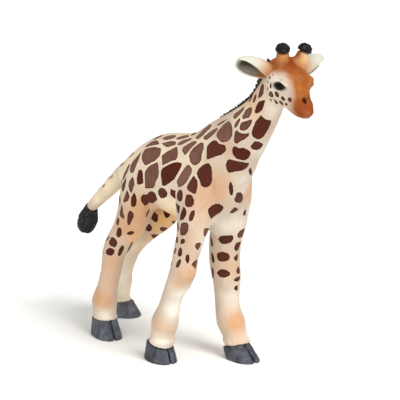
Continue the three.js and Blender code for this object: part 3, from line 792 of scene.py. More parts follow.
# Spots. Each outline is a row of corners in the photograph. The number of a group says how pale
# its paint is. The pale greyish tone of the spots on the back and the top of the neck is partly
# their own paint and partly a painted sheen of the light from above.
spot_outlines = {
    1.0: [
        [(163, 138), (166, 136.5), (171, 135.2), (176, 135.3), (175.5, 137), (172, 138.8),
         (167, 139.7), (163.5, 139.4)],
        [(176, 138.3), (179, 137), (184, 135.5), (189.5, 135), (189, 136.7), (185, 138), (180, 139.2),
         (176.5, 139.3)],
        [(177.5, 143.7), (180, 141.8), (184, 140), (191.5, 138), (191, 139.8), (187, 141.7),
         (182, 144.3), (178.5, 145)],
        [(195.5, 141.2), (196.5, 142.5), (194.5, 145), (187, 153), (184.7, 155), (182.2, 150),
         (183.5, 147), (192, 142)],
        [(209.5, 124.5), (211.5, 125.5), (210, 128), (201, 137), (198.5, 138.8), (196.2, 138.7),
         (196, 137), (204, 129)],
        [(216, 128.3), (218, 129), (213, 134.5), (208.5, 138.5), (206, 139.8), (203.7, 138.7),
         (203.7, 137), (211.5, 131)],
        [(228, 121.3), (230.5, 123), (231.8, 126.5), (232.3, 130.5), (232, 135), (230, 139),
         (226.5, 141.5), (222, 142), (218.5, 139), (216.5, 135.5), (217, 133), (222.5, 126)],
        [(244.5, 106.5), (243.5, 110), (240.5, 113.5), (237, 117), (234.5, 119), (233.3, 117),
         (234.5, 114), (239.5, 110.5)],
        [(188, 165), (190.5, 166.5), (191.8, 169.5), (191, 173.5), (186, 182.5), (182.5, 185.5),
         (178.5, 187.2), (177, 181.5), (179, 177.5), (185.5, 167)],
        [(228, 119), (225, 121), (221, 124), (217.5, 125.3), (217, 124.8), (222, 121.7)],
    ],
    0.75: [
        [(145, 149), (149, 147.5), (154, 147), (160.9, 148.5), (160.5, 152), (159.5, 156),
         (154, 161.5), (149, 164), (145.5, 164.9), (143.5, 163), (142, 158.5), (142, 155)],
        [(176, 147), (177, 147.2), (177.5, 152), (177.5, 157), (176, 159.5), (171, 161), (162.5, 165),
         (162.3, 160), (161.8, 156), (167, 152)],
        [(156, 140.2), (157.5, 141), (159, 144), (154, 145), (145.5, 147.8), (146, 146), (148.5, 144),
         (152, 141.5)],
        [(162, 143.5), (164.5, 142.5), (170, 141.3), (175, 141.5), (176, 142.8), (175.5, 144.5),
         (168, 147), (165, 146)],
        [(157, 162.5), (158, 164), (158.8, 172), (158, 177), (155.5, 181.5), (154.5, 186),
         (152.5, 188), (145.4, 188.2), (144.8, 174), (145.7, 171), (148, 167.5), (151.5, 164.5)],
        [(141, 152.2), (140, 155.5), (135.5, 167), (133.5, 172), (131, 173), (129.8, 170),
         (130.5, 166), (132.5, 162)],
        [(239.5, 118), (240.3, 118.8), (239, 123), (236.5, 126.5), (234.8, 128), (234.3, 127),
         (235.5, 123)],
        [(250, 107.4), (252, 108.3), (251.5, 112), (249.5, 116.5), (247, 118.3), (243, 119.2),
         (242.2, 117), (246, 110)],
        [(200.6, 142.8), (203.5, 143.5), (203.6, 148), (201.7, 153.5), (201, 160), (199, 163),
         (195.5, 165), (192.5, 164.5), (190, 161), (189.2, 156), (190.5, 151.5), (193.5, 147.5)],
        [(204.5, 229), (206.5, 228), (209, 228.8), (208.5, 231), (205, 236.7), (204, 235.5),
         (203.8, 232)],
    ],
    0.45: [
        [(251.8, 119.7), (251.5, 122), (249.5, 126.5), (247, 129), (243.5, 130.7), (240.5, 130),
         (239.8, 127.5), (240.3, 124.5), (242, 122.5), (246.5, 120.8)],
        [(236.5, 130.5), (238.5, 132), (241.5, 133.8), (245.5, 134), (249, 133.2), (248.5, 135.5),
         (245, 138.7), (240.5, 141), (236.8, 143.6), (234.8, 142.5), (234.2, 139), (235.3, 132)],
        [(132.5, 177), (133.8, 179), (134.2, 184), (131.5, 193.2), (129.5, 190), (128.6, 186),
         (129.2, 182)],
        [(126, 177.5), (126, 181), (125, 187), (123, 191.8), (121.8, 189), (122, 185.5), (124, 181)],
        [(126.8, 190.3), (128.5, 193.5), (129.3, 197), (128, 200.5), (124.5, 202.7), (123.2, 201),
         (125.7, 194.5)],
        [(262.2, 83.8), (263.5, 84.5), (263.8, 88), (263.2, 93.5), (261, 96.5), (258.8, 97.8),
         (258.2, 97), (260.5, 87.5)],
        [(256.5, 94), (256, 98.5), (254.5, 102), (252.8, 102.3), (253.7, 98), (255.5, 94.8)],
        [(253, 94.5), (251.8, 98), (249.7, 101.5), (248.8, 101), (250.7, 97)],
        [(181.5, 223.5), (184, 222.8), (187, 223), (188.3, 225.5), (188, 230), (186.5, 233.5),
         (184, 235.3), (181, 235), (180, 232.5), (180.3, 228)],
        [(196.5, 243.5), (200.5, 242.5), (200.8, 245), (197.8, 250), (196, 248), (195.3, 245.5)],
        [(197, 259.5), (196.5, 264), (195.5, 268.5), (191.8, 264.5), (193.5, 262)],
        [(244.8, 228.2), (244, 232), (242.3, 236.5), (239.5, 237.7), (237.8, 237), (238, 233.5),
         (240, 231)],
        [(121.8, 204), (122.5, 208), (123, 213), (124.5, 217), (123.5, 218.8), (120.5, 216.5),
         (119.8, 213.5)],
    ],
    0.08: [
        [(172, 163.3), (178, 162.3), (181.5, 163.2), (181.5, 165.5), (180, 169), (174, 179),
         (169, 183), (165, 185.5), (162.3, 185.9), (161, 175), (161.2, 170.5), (163, 168)],
        [(138.7, 170.2), (141.5, 170), (142.5, 172.5), (143.2, 182.5), (142, 183.5), (139, 184.7),
         (137.3, 184), (136.8, 179)],
        [(134, 192.5), (135.5, 195), (136.5, 200), (136, 205), (133.5, 207), (131.3, 206), (131, 202),
         (131.5, 197)],
        [(143, 194.7), (146.5, 195), (149.5, 192), (152, 191.3), (155, 193), (156.5, 197),
         (157.2, 200), (152, 203.2), (149, 202), (147.5, 204.5), (144.5, 205.3), (141, 200.5),
         (141.2, 197)],
        [(160, 188.2), (163, 187.9), (165.5, 190), (167.5, 193.5), (166.5, 196.5), (163.5, 198),
         (160.5, 197.8), (158.5, 194.5), (158, 191.5)],
        [(171, 188.8), (172.5, 190), (175.5, 191), (175.2, 199), (173, 197), (170.5, 195),
         (170.5, 191.5)],
        [(179, 190), (181.5, 190.3), (182.7, 194), (182.3, 198.5), (181, 201.3), (178.8, 201),
         (177.2, 198.5), (177, 194)],
        [(261, 115.7), (263, 117.5), (266, 119.7), (271.2, 121), (270.5, 124), (266, 132.5),
         (263.5, 136.5), (260, 138.8), (257, 139), (253.5, 137), (252, 134), (252.2, 131),
         (253.5, 127), (256, 121.5)],
        [(265, 100.2), (264.2, 103), (263.3, 106.5), (261.7, 110), (259.5, 112.2), (255.5, 113),
         (255, 111), (256, 107.5), (258, 103), (260, 101.3)],
        [(207, 146.7), (210, 143), (213.3, 140.6), (216.5, 141), (218.5, 143.7), (225, 145.5),
         (226.1, 148.9), (224.5, 152), (221, 154.5), (215, 156.3), (207.3, 159.3), (206.6, 157.5)],
        [(255, 141.4), (258.5, 141.8), (262.7, 144), (262, 146.5), (260, 149), (256.5, 150),
         (252.5, 149.2), (250.5, 146.5)],
        [(233, 147.8), (234.7, 146.2), (239.5, 148.7), (243.3, 148), (247.8, 149.8), (250.4, 152.5),
         (249.8, 155.5), (247.8, 158.5), (245, 160), (241, 160), (236.5, 158.5), (233.5, 155),
         (232.3, 151.5)],
        [(226, 165), (227, 161.5), (229.5, 159.3), (235, 161), (241, 162), (248.8, 163.3),
         (248.5, 165), (246, 168.3), (242, 170.5), (235, 171.3), (229, 172.6), (227, 170)],
        [(197, 173.3), (198.5, 169.5), (202, 165.8), (206, 163.8), (209, 163.7), (211, 166.7),
         (211.8, 172), (211.8, 180), (210.5, 184.5), (207.5, 187), (204.5, 187.3), (201.5, 185.5)],
        [(193.7, 176), (195.5, 178.5), (197.3, 181), (197.2, 187), (196, 192.5), (195, 193.9),
         (192, 193), (188.7, 190.5), (187, 188.2), (187.8, 185), (190.5, 180.5)],
        [(186.3, 195), (189.5, 194.4), (192, 196), (193.8, 200), (193.5, 204.5), (191.5, 206.6),
         (188, 207), (185.5, 205.5), (185, 202)],
        [(208.3, 212), (208.5, 209), (211.5, 206), (215.5, 204), (219.5, 204.2), (222.5, 206),
         (223.4, 208), (221.5, 211), (217, 214.3), (211, 218.8), (209.7, 216)],
        [(237, 193), (240.3, 192.5), (242.5, 195), (243, 198.5), (241.5, 202), (239, 202.8),
         (236, 202), (234.5, 199.5)],
        [(230, 182), (231.5, 183), (232.8, 187), (233, 192), (232.3, 195), (231, 195.5),
         (229.8, 192.5), (229, 187.5)],
        [(229.5, 212.8), (231.5, 210.5), (234.5, 207.3), (238.3, 209.3), (236, 211), (233, 213)],
        [(249.3, 169), (251, 168), (251.6, 172), (251.3, 175.7), (249.7, 174), (248.9, 171.5)],
        [(245.8, 209.3), (245.9, 213), (245, 215.5), (243.3, 215), (243.6, 212)],
        [(175.8, 203.5), (178, 204.7), (179.8, 206.5), (179.5, 210.5), (178.8, 214), (177.3, 211.5)],
        [(183.5, 206.5), (185.3, 209), (186.6, 212), (185.5, 216), (183, 219.5), (179.8, 220),
         (181, 213)],
        [(194, 210), (194.7, 212), (194, 216), (192.5, 220), (190, 221.2), (189, 220), (189.5, 216),
         (191, 212)],
        [(182.5, 239), (184.5, 239.2), (184.8, 241.5), (183.5, 243.5), (181, 244), (180.5, 242),
         (181, 240)],
        [(180.3, 247.3), (181.7, 249), (182, 253), (181, 256), (179, 256.5), (178, 255), (178.3, 251.5)],
        [(179.8, 259), (181, 260.5), (180.5, 263.5), (178.5, 267), (176.5, 267.7), (176, 266),
         (176.8, 263)],
        [(187.5, 254.3), (189.3, 256), (189.3, 259.5), (187.8, 263.5), (186.3, 262), (185.5, 259),
         (186, 255.7)],
        [(220.5, 236.3), (223, 235.7), (228, 235.8), (231.5, 235.3), (233, 236.5), (233, 239.5),
         (230.5, 242.5), (226, 243.8), (222, 243.8), (219.5, 241.5), (218.5, 239)],
        [(217, 254.5), (218, 253), (222.5, 252), (226, 252.8), (229, 254.5), (229.5, 257.5),
         (228.5, 260), (224, 261.5), (219.5, 261), (217.5, 258.5)],
        [(216.8, 273), (219, 270.5), (222, 269.3), (226, 270), (229.5, 272.5), (229.8, 275),
         (227, 276.5), (223.5, 277.5), (219.5, 276.3)],
        [(240.8, 241.5), (240, 245), (238, 250), (236.3, 251), (234.3, 249), (234.7, 246.5),
         (236.5, 243)],
        [(237.7, 254), (237.7, 258), (237, 261), (235, 260), (233.8, 258), (235.5, 256)],
        [(238.8, 266.3), (239.7, 269.5), (239.8, 273), (237.5, 273.5), (236.3, 271.5), (237.3, 268.5)],
        [(240.3, 276), (239.8, 279), (237.5, 281.5), (235, 281), (233.8, 280), (236, 278)],
        [(237.8, 285.5), (237.6, 288), (237.5, 290.5), (235.5, 290), (233.8, 288.5), (235.5, 286)],
        [(210.3, 234), (211.5, 238), (212.5, 242), (213, 245.5), (211.5, 246), (210.7, 241)],
        [(211.3, 252), (213, 254), (214.3, 258.5), (214.2, 262), (213, 263), (211.8, 260)],
        [(211.6, 267), (213.3, 269.5), (213.8, 274), (213.5, 277.5), (212.3, 278)],
        [(128.5, 211.8), (131, 211), (133.5, 213.5), (133.3, 217.5), (131.5, 220.5), (129.8, 224.5),
         (128, 224.8), (127.3, 222), (127.6, 217)],
        [(117.5, 218), (119, 218.7), (119.2, 221), (118.2, 225), (117.2, 225.7), (116.3, 223)],
        [(118, 227.7), (120.5, 228), (121.7, 230.5), (121.5, 234.5), (119.7, 237), (117.5, 237),
         (116.2, 234.5)],
        [(131, 231.2), (134, 231.6), (133.8, 233.3), (131, 234.5), (128, 234.8), (127, 233.8),
         (128.5, 232)],
        [(111, 237.7), (113, 237.3), (115.5, 239.3), (117.3, 242.5), (116, 246), (114, 247.2),
         (110.5, 245.5), (108.8, 243)],
        [(109, 248.2), (112, 248.2), (114.2, 250), (113.8, 253.5), (111.5, 255.5), (108, 255),
         (106, 253), (106.2, 250.2)],
        [(122, 245.3), (124, 246.5), (123.2, 250), (121, 254.5), (119, 256.2), (118, 254.5), (119, 250)],
        [(153.5, 212), (156, 213.2), (158, 215.5), (157.8, 219.5), (156.5, 222.3), (153.5, 221),
         (151, 218.3)],
        [(163, 210.3), (166, 212), (169.7, 213.7), (169.5, 216), (167, 218), (165, 217)],
        [(146.5, 224.8), (149.5, 224.2), (151.8, 227), (151.5, 230), (148.8, 231.6), (146, 229.8),
         (145.4, 227)],
        [(160.3, 228), (163, 227), (167.7, 228.2), (165.5, 230), (163, 231.5), (160.5, 230.5)],
        [(171.5, 221.8), (174, 221), (177.3, 221.3), (175.5, 222.8), (173.5, 223.7)],
        [(151.5, 234.5), (155, 234.3), (158.8, 234.8), (156, 237), (153.8, 238.5), (152, 236.5)],
    ],
}

# Small spots and slivers: x and y in the photograph, half length, half width, and how steeply
# each falls to the right in degrees
small_spots = {
    0.85: [
        (158, 137.4, 5, 0.7, -25), (195.5, 133, 6, 0.7, -28), (126, 172.4, 9, 1, -66),
        (258.7, 84, 4, 1.4, -60),
    ],
    0.35: [
        (252, 180.6, 3, 0.6, 80), (178, 227, 4.3, 0.7, 85), (177, 240, 3.2, 0.9, 90),
        (175.2, 251, 2.8, 0.6, -75), (171.2, 264, 2, 0.5, -75), (147.8, 213, 4.6, 0.5, -65),
        (129.8, 247.5, 6.5, 0.6, -65), (102.5, 249, 4.4, 0.7, 90), (108, 238.5, 2.6, 0.5, -50),
        (131.7, 155, 3.7, 0.4, -43), (122.2, 164.4, 2.7, 0.35, -45), (111.5, 177, 2.2, 0.3, -50),
        (103.8, 185.8, 2.0, 0.3, -45), (95.8, 192.3, 2.5, 0.4, -45), (119.8, 199, 5, 0.6, 88),
        (269.8, 77.7, 1.6, 0.7, -65), (272.6, 75.4, 0.9, 0.5, -40), (270.5, 85.6, 2.8, 1, 90),
        (268.2, 82.2, 1.4, 0.5, 80), (267.9, 89.6, 2.7, 0.5, 80), (270.9, 94.3, 3.2, 1.9, 60),
        (276.8, 94.4, 3, 1.6, 60), (283.1, 98.8, 2.5, 1.4, 55), (289.8, 99.8, 2.1, 1.6, 60),
    ],
    0.1: [
        (271.4, 100, 2.2, 0.6, 50), (276.1, 101.9, 3.1, 1.0, 42), (281.4, 103, 2.6, 0.95, 42),
        (286.1, 104.1, 1.7, 0.85, 42),
    ],
}
small_corners = 14
spot_squareness = 2.6

# How much each spot is swollen, and the least gap between two. A spot is looked for as far away as
# so many times its reach, and a length beyond.
spot_swell = 0.1
spot_gap = 0.75
spot_far = 3.0
spot_reach = 1.4

# Where the skin slopes away from the camera, its spots are drawn out at most as if at this cosine.
steepest_view = 0.3

# A spot ends where the skin lies this far above or below its place (a length, a share of the spot's
# reach), and where the skin faces away (a cosine). Past either, the distance to its edge grows at
# these rates.
spot_thick = (1.5, 0.5)
spot_facing = 0.05
filler_thick = (1.2, 0.4)
filler_facing = 0.1
thick_rate = 2
spot_facing_rate = 7
filler_facing_rate = 5

# The paint of a spot is made paler or darker by up to this much, and a twin is left out where it
# would lie this near to another spot, as a share of its reach.
pale_spread = 0.1
twin_spacing = 0.6

# Filled-in spots
filler_spacing = 3.0
filler_half_lengths = (2.4, 3.6)
filler_widths = (0.6, 0.9)
filler_corners = 8
filler_corner_turn = 0.25
filler_corner_reach = (0.85, 1.1)
filler_pale = (0.3, 0.9)
filler_lowest = 46.5
filler_underside = -0.55
filler_behind_head = 3
filler_seed = 7


def outline_gap(points, outline):
    """How far points are outside a closed outline (below zero inside), and the way to its edge."""
    best = np.full(len(points), np.inf)
    ways = np.zeros((len(points), 2))
    inside = np.zeros(len(points), bool)
    corners = np.array([*outline, outline[0]], float)
    for start, end in zip(corners, corners[1:]):
        run = end - start
        share = np.clip((points - start) @ run / max(run @ run, near_zero), 0, 1)
        way = start + share[:, None] * run - points
        gap = np.hypot(*way.T)
        closer = gap < best
        best = np.where(closer, gap, best)
        ways[closer] = way[closer]
        crosses = (points[:, 1] < start[1]) != (points[:, 1] < end[1])
        reach = start[0] + (points[:, 1] - start[1]) / (run[1] or near_zero) * run[0]
        inside ^= crosses & (points[:, 0] < reach)
    return np.where(inside, -best, best), ways / np.maximum(best, near_zero)[:, None]


class Spot:
    """One painted spot: an outline in the photograph, and the place on the skin where it lies.

    A twin on the hidden side carries the outline of its partner, and a mirror that leads to it.
    """

    def __init__(self, place, normal, outline, pale, partner=None, mirror=None):
        self.place = np.array(place)
        self.normal = np.array(normal)
        self.outline = outline
        self.pale = pale
        self.partner = self.place if partner is None else partner
        self.mirror = np.eye(3) if mirror is None else mirror
        depth = (eye_place - Vector(self.partner)).dot(to_eye)
        self.size = view_cover / photo_size * depth / view_distance
        middle = pixels_of(self.partner[None])[0]
        facing = (self.mirror @ self.normal) @ np.array(to_eye)
        self.reach = max(math.hypot(*(middle - corner)) for corner in outline) * self.size
        self.reach /= max(facing, steepest_view) ** 0.5

    def distance(self, places, normals):
        """How far places on the skin are outside the spot's edge, in millimetres."""
        offset = places - self.place
        gap, ways = outline_gap(pixels_of(offset @ self.mirror.T + self.partner), self.outline)
        across = ways[:, :1] * np.array(picture_right) - ways[:, 1:] * np.array(picture_up)
        lean = ((normals @ self.mirror.T) * across).sum(1)
        gap *= self.size / np.sqrt(np.maximum(1 - lean**2, steepest_view**2))
        above = np.abs(offset @ self.normal) - spot_thick[0] - spot_thick[1] * self.reach
        gap += thick_rate * np.maximum(0, above)
        return gap + spot_facing_rate * np.maximum(0, spot_facing - normals @ self.normal)


class FillerSpot:
    """A spot with an outline in millimetres on a plane that touches the skin."""

    def __init__(self, place, normal, along, outline, pale):
        self.place = np.array(place)
        self.normal = np.array(normal)
        self.along = np.array(along)
        self.wide = np.cross(self.normal, self.along)
        self.outline = outline
        self.pale = pale
        self.reach = max(math.hypot(*corner) for corner in outline)

    def distance(self, places, normals):
        """How far places on the skin are outside the spot's edge, in millimetres."""
        offset = places - self.place
        flat = np.stack([offset @ self.along, offset @ self.wide], axis=1)
        gap = outline_gap(flat, self.outline)[0]
        above = np.abs(offset @ self.normal) - filler_thick[0] - filler_thick[1] * self.reach
        gap += thick_rate * np.maximum(0, above)
        return gap + filler_facing_rate * np.maximum(0, filler_facing - normals @ self.normal)


def oval(x, y, half_length, half_width, fall):
    """The outline of a slightly squared oval in the photograph."""
    turn = math.radians(fall)
    corners = []
    for step in range(small_corners):
        angle = 2 * math.pi * step / small_corners
        size = abs(math.cos(angle)) ** spot_squareness + abs(math.sin(angle)) ** spot_squareness
        size = size ** (-1 / spot_squareness)
        long_way = half_length * size * math.cos(angle)
        wide_way = half_width * size * math.sin(angle)
        corners.append(
            (x + long_way * math.cos(turn) - wide_way * math.sin(turn),
             y + long_way * math.sin(turn) + wide_way * math.cos(turn))
        )
    return corners


# Mirrors: one for the body and legs, one for the head
body_mirror = np.diag([1.0, -1.0, 1.0])
head_mirror = np.array(head_frame.to_3x3()) @ body_mirror @ np.array(head_frame.to_3x3()).T


def traced_spots(tree, shades):
    """The spots that the photograph shows, and their twins on the side that it doesn't show."""
    outlines = [(pale, outline) for pale, rows in spot_outlines.items() for outline in rows]
    outlines += [(pale, oval(*row)) for pale, rows in small_spots.items() for row in rows]
    spots = []
    for pale, outline in outlines:
        place, normal = surface_at(tree, *np.mean(outline, axis=0))
        shade = shades.uniform(-pale_spread, pale_spread)
        spots.append(Spot(place, normal, outline, pale + shade))
    for spot in list(spots):
        start = Vector(spot.place)
        place, normal, _, _ = tree.find_nearest(mirrored(start, Vector(spot.normal))[0])
        if is_seen(tree, place, normal, twins_from):
            continue
        gap = min(np.linalg.norm(np.array(place) - other.place) for other in spots)
        if gap < spot.reach * twin_spacing:
            continue
        mirror = head_mirror if is_on_head(start) else body_mirror
        spots.append(Spot(place, normal, spot.outline, spot.pale, spot.place, mirror))
    return spots


def nearest_two(places, normals, spots):
    """For each place, the distance to the nearest and second spot, and how pale the nearest is."""
    first = np.full(len(places), spot_far)
    second = first.copy()
    pale = np.full(len(places), 0.5)
    for spot in spots:
        span = spot.reach * spot_reach + spot_far
        near = np.flatnonzero(((places - spot.place) ** 2).sum(1) < span**2)
        gap = np.minimum(spot.distance(places[near], normals[near]) - spot_swell, spot_far)
        closer = gap < first[near]
        second[near] = np.where(closer, first[near], np.minimum(second[near], gap))
        pale[near] = np.where(closer, spot.pale, pale[near])
        first[near] = np.minimum(first[near], gap)
    return first, second, pale


def filler_spots(tree, made, spots, shades):
    """Spots for the parts of the body and neck that the photograph doesn't show."""
    places, normals = places_and_normals(made)
    first, _, _ = nearest_two(places, normals, spots)
    order = np.flatnonzero((first > spot_far - near_zero) & (places[:, 2] > filler_lowest))
    on_trunk = places[order, 0] < head_place.x - filler_behind_head
    order = order[(normals[order, 2] > filler_underside) & on_trunk].tolist()
    shades.shuffle(order)
    added = []
    for index in order:
        place = Vector(places[index])
        normal = Vector(normals[index])
        if any((Vector(spot.place) - place).length < filler_spacing + spot.reach for spot in added):
            continue
        if is_seen(tree, place, normal, fillers_from):
            continue
        half_length = shades.uniform(*filler_half_lengths)
        half_width = half_length * shades.uniform(*filler_widths)
        along = normal.cross(Vector((shades.uniform(-1, 1), 1, shades.uniform(-1, 1)))).normalized()
        outline = []
        for corner in range(filler_corners):
            turn = shades.uniform(-filler_corner_turn, filler_corner_turn)
            angle = 2 * math.pi * (corner + turn) / filler_corners
            reach = shades.uniform(*filler_corner_reach)
            outline.append((half_length * reach * math.cos(angle), half_width * reach * math.sin(angle)))
        added.append(FillerSpot(place, normal, along, outline, shades.uniform(*filler_pale)))
    return added


# Airbrushed colours: x and y in the photograph, radius in millimetres, strength
sprays = {
    "peach": [
        (190, 276, 4, 0.65), (180, 284, 3.5, 0.6), (156, 326, 4, 0.5), (170, 332, 3, 0.4),
        (238, 322, 4, 1.0), (246, 316, 3, 0.6), (98, 298, 4, 1.0), (108, 303, 3, 0.7),
        (221, 187, 4.5, 0.6), (212, 196, 5, 0.5), (140, 214, 6, 0.9), (146, 206, 4, 0.7),
        (122, 226, 5, 0.7), (226, 262, 5, 0.3), (236, 270, 3, 0.5), (252, 96, 5, 0.6),
        (258, 112, 4, 0.5), (196, 200, 5, 0.5), (112, 262, 5, 0.6), (186, 240, 5, 0.4),
        (110, 280, 5, 0.4), (268, 66, 3.5, 0.8), (262, 72, 3, 0.7), (229, 150, 3, 0.5),
        (219, 180, 4, 0.5), (207, 222, 4, 0.4), (135, 232, 4, 0.6),
    ],
    # Gold: yellow inside the hind legs and on the horns; between the legs it is laid extra light, as
    # painted light against the shade there
    "gold": [
        (283, 58, 3, 1.0), (302, 62, 2.5, 0.9), (158, 212, 4, 0.9), (166, 221, 5, 0.8),
        (156, 229, 4, 0.7), (174, 215, 4, 0.7), (150, 238, 4, 0.4),
    ],
    # Ivory: a warmer, lighter cream on back, belly, tail and far hind leg; on the belly, tail and far
    # hind leg it is partly painted light, lifting the shade there
    "ivory_and_painted_light": [
        (165, 150, 11, 0.5), (182, 162, 9, 0.4), (150, 168, 8, 0.4), (202, 142, 6, 0.6),
        (247, 106, 7, 1.0), (240, 121, 5, 0.3), (131, 158, 7, 0.9), (139, 190, 5, 0.3),
        (108, 187, 7, 0.8), (120, 174, 6, 0.9), (97, 199, 3, 0.8), (172, 206, 5, 0.9),
        (165, 204, 5, 0.7), (128, 280, 7, 1.0), (125, 264, 6, 0.9), (138, 249, 7, 1.0),
        (225, 236, 5, 0.4),
    ],
    # Pale: the near-white paint of pasterns, throat and face, and painted light that lifts the shade on
    # the far hind leg and under the chest
    "pale": [
        (184, 292, 4, 1.0), (160, 340, 3.5, 0.9), (106, 313, 3.5, 0.8), (252, 205, 6, 0.5),
        (272, 112, 4, 0.7), (238, 183, 5, 0.45), (230, 226, 5, 0.6), (262, 150, 4, 0.5),
        (176, 310, 4, 0.9), (277, 76, 3.0, 0.5), (270, 88, 3.0, 0.5), (247, 186, 5, 0.5),
        (286, 92, 3, 0.2), (236, 300, 5, 0.4), (128, 284, 6, 0.4), (129, 268, 7, 0.6),
    ],
}

# The orange mask of the face ends at this outline in the photograph. On the left half of the
# head it reaches a little further out.
mask_outline = [
    (262.5, 58), (260.5, 63), (263, 68), (268, 72.3), (276, 73), (285, 73.5), (289.3, 80), (291.6, 88),
    (293.2, 96), (291.4, 105.5), (292, 112), (297, 120), (309, 121), (318, 116), (318, 92), (322, 78),
    (312, 68), (309, 30), (268, 30),
]
mask_softness = 3.0
mask_beyond = 3.0

# Where the mask is thin, and where it is browner, in the same form as the sprays. The brown is
# partly the mask's own darker paint and partly painted shade under the muzzle and between the horns.
mask_bare = [
    (308.5, 57.5, 3.2, 0.95), (283, 57.5, 2.4, 0.36), (302, 62, 2.0, 0.25), (262, 62, 3.0, 0.3),
]
muzzle_shade = [
    (303, 107, 3.0, 0.7), (298, 113, 2.5, 0.4), (291, 62, 2.6, 0.9),
    (287, 66, 2.6, 0.6), (300, 68, 2.5, 0.4), (303, 76, 2.5, 0.25),
]

# A spray fades where the skin turns away: how fast, and what is left at a right angle to it
spray_turn = 2
spray_beside = 0.6


def sprayed(places, normals, tree, rows):
    """How much of an airbrushed colour lies on each place, from 0 to 1."""
    bare = np.ones(len(places))
    for x, y, radius, strength in rows:
        hits = [surface_at(tree, x, y)]
        twin = tree.find_nearest(mirrored(*hits[0])[0])
        if not is_seen(tree, twin[0], twin[1]):
            hits.append(twin[:2])
        for place, normal in hits:
            gap = ((places - np.array(place)) ** 2).sum(1) / radius**2
            facing = np.clip(normals @ np.array(normal) * spray_turn + spray_beside, 0, 1)
            bare *= 1 - strength * np.exp(-gap) * facing
    return 1 - bare


# The left half's mask is widest from this far beside the middle. The dark of a nostril and of the
# line round an eye: their sizes, where 1 is the edge, and from how far beside the middle eyes lie
mask_wide_from = 2
nostril_paint = 1.05
eye_line_width = 0.12
eye_line_from = 3


def right_half(places):
    """Places on the head, those of its left half mirrored to the right."""
    on_head = mapped(places, to_head_frame)
    on_head[:, 1] = -np.abs(on_head[:, 1])
    return mapped(on_head, head_frame)


def paint(made, tree, spots, with_mask=False):
    """Writes the paint's masks on a piece of the hide, one number a vertex for each."""
    places, normals = places_and_normals(made)
    first, second, pale = nearest_two(places, normals, spots)
    layers = {"spot": np.maximum(first, (first - second + spot_gap) / 2), "spot_pale": pale}
    for colour, rows in sprays.items():
        layers[colour] = sprayed(places, normals, tree, rows)
    if with_mask:
        on_head = mapped(places, to_head_frame)
        beyond = mask_beyond * np.clip(on_head[:, 1] / mask_wide_from, 0, 1)
        gap = outline_gap(pixels_of(right_half(places)), mask_outline)[0] * view_cover / photo_size
        layers["mask"] = np.clip(0.5 - (gap - beyond) / mask_softness, 0, 1)
        layers["mask"] *= 1 - sprayed(places, normals, tree, mask_bare)
        layers["mask_shade"] = sprayed(places, normals, tree, muzzle_shade)
        on_head[:, 1] = np.abs(on_head[:, 1])
        layers["nostril"] = np.exp(-((nostril_bowl(on_head, tree) / nostril_paint) ** 4))
        line = np.exp(-(((eye_ring(on_head)[0] - 1) / eye_line_width) ** 2))
        layers["eye_line"] = np.where(on_head[:, 1] > eye_line_from, line, 0)
    for name, values in layers.items():
        layer = made.verts.layers.float.new(name)
        for vert, value in zip(made.verts, values):
            vert[layer] = value


# Materials

def new_group(name, inputs, outputs):
    """A shader node group with named inputs (name: default) and outputs."""
    tree = bpy.data.node_groups.new(name, "ShaderNodeTree")
    for title, default in inputs.items():
        socket = tree.interface.new_socket(name=title, in_out="INPUT", socket_type="NodeSocketFloat")
        socket.default_value = default
    for title in outputs:
        tree.interface.new_socket(name=title, in_out="OUTPUT", socket_type="NodeSocketFloat")
    return tree, put(tree, "NodeGroupInput"), put(tree, "NodeGroupOutput")


def put(tree, kind, inputs=None, **settings):
    """Adds a node. An input is given a number, a colour or another node's output."""
    node = tree.nodes.new(kind)
    for name, value in settings.items():
        setattr(node, name, value)
    for name, value in (inputs or {}).items():
        if isinstance(value, bpy.types.NodeSocket):
            tree.links.new(value, node.inputs[name])
        else:
            node.inputs[name].default_value = value
    return node


def sum_of(tree, kind, first, second=0.0, clamp=False):
    """A math node's result."""
    return put(tree, "ShaderNodeMath", {0: first, 1: second}, operation=kind, use_clamp=clamp).outputs[0]


def ramp(tree, value, low, high, from_value=0.0, to_value=1.0):
    """A smooth rise from one value to another while the input goes from low to high."""
    inputs = {"Value": value, "From Min": low, "From Max": high}
    inputs |= {"To Min": from_value, "To Max": to_value}
    return put(tree, "ShaderNodeMapRange", inputs, interpolation_type="SMOOTHSTEP").outputs[0]


def over(tree, mask, under, colour):
    """A colour laid over another where the mask says so."""
    inputs = {0: mask, 6: under, 7: colour}
    return put(tree, "ShaderNodeMix", inputs, data_type="RGBA").outputs[2]


def cloud(tree, place, size, detail=3.0, roughness=0.55, stretch=None):
    """Noise whose patches are about as large as the size, in millimetres."""
    if stretch:
        place = put(tree, "ShaderNodeMapping", {"Vector": place, "Scale": stretch}).outputs[0]
    inputs = {"Vector": place, "Scale": millimetres / size, "Detail": detail, "Roughness": roughness}
    return put(tree, "ShaderNodeTexNoise", inputs).outputs["Fac"]


def object_place(tree):
    return put(tree, "ShaderNodeTexCoord").outputs["Object"]


def painted(tree, name):
    """A mask that is painted on the piece's vertices."""
    layer = put(tree, "ShaderNodeAttribute", attribute_name=name, attribute_type="GEOMETRY")
    return layer.outputs["Fac"]


# Gloss of the paint and of the eyes
paint_gloss = 0.06
eye_gloss = 0.09

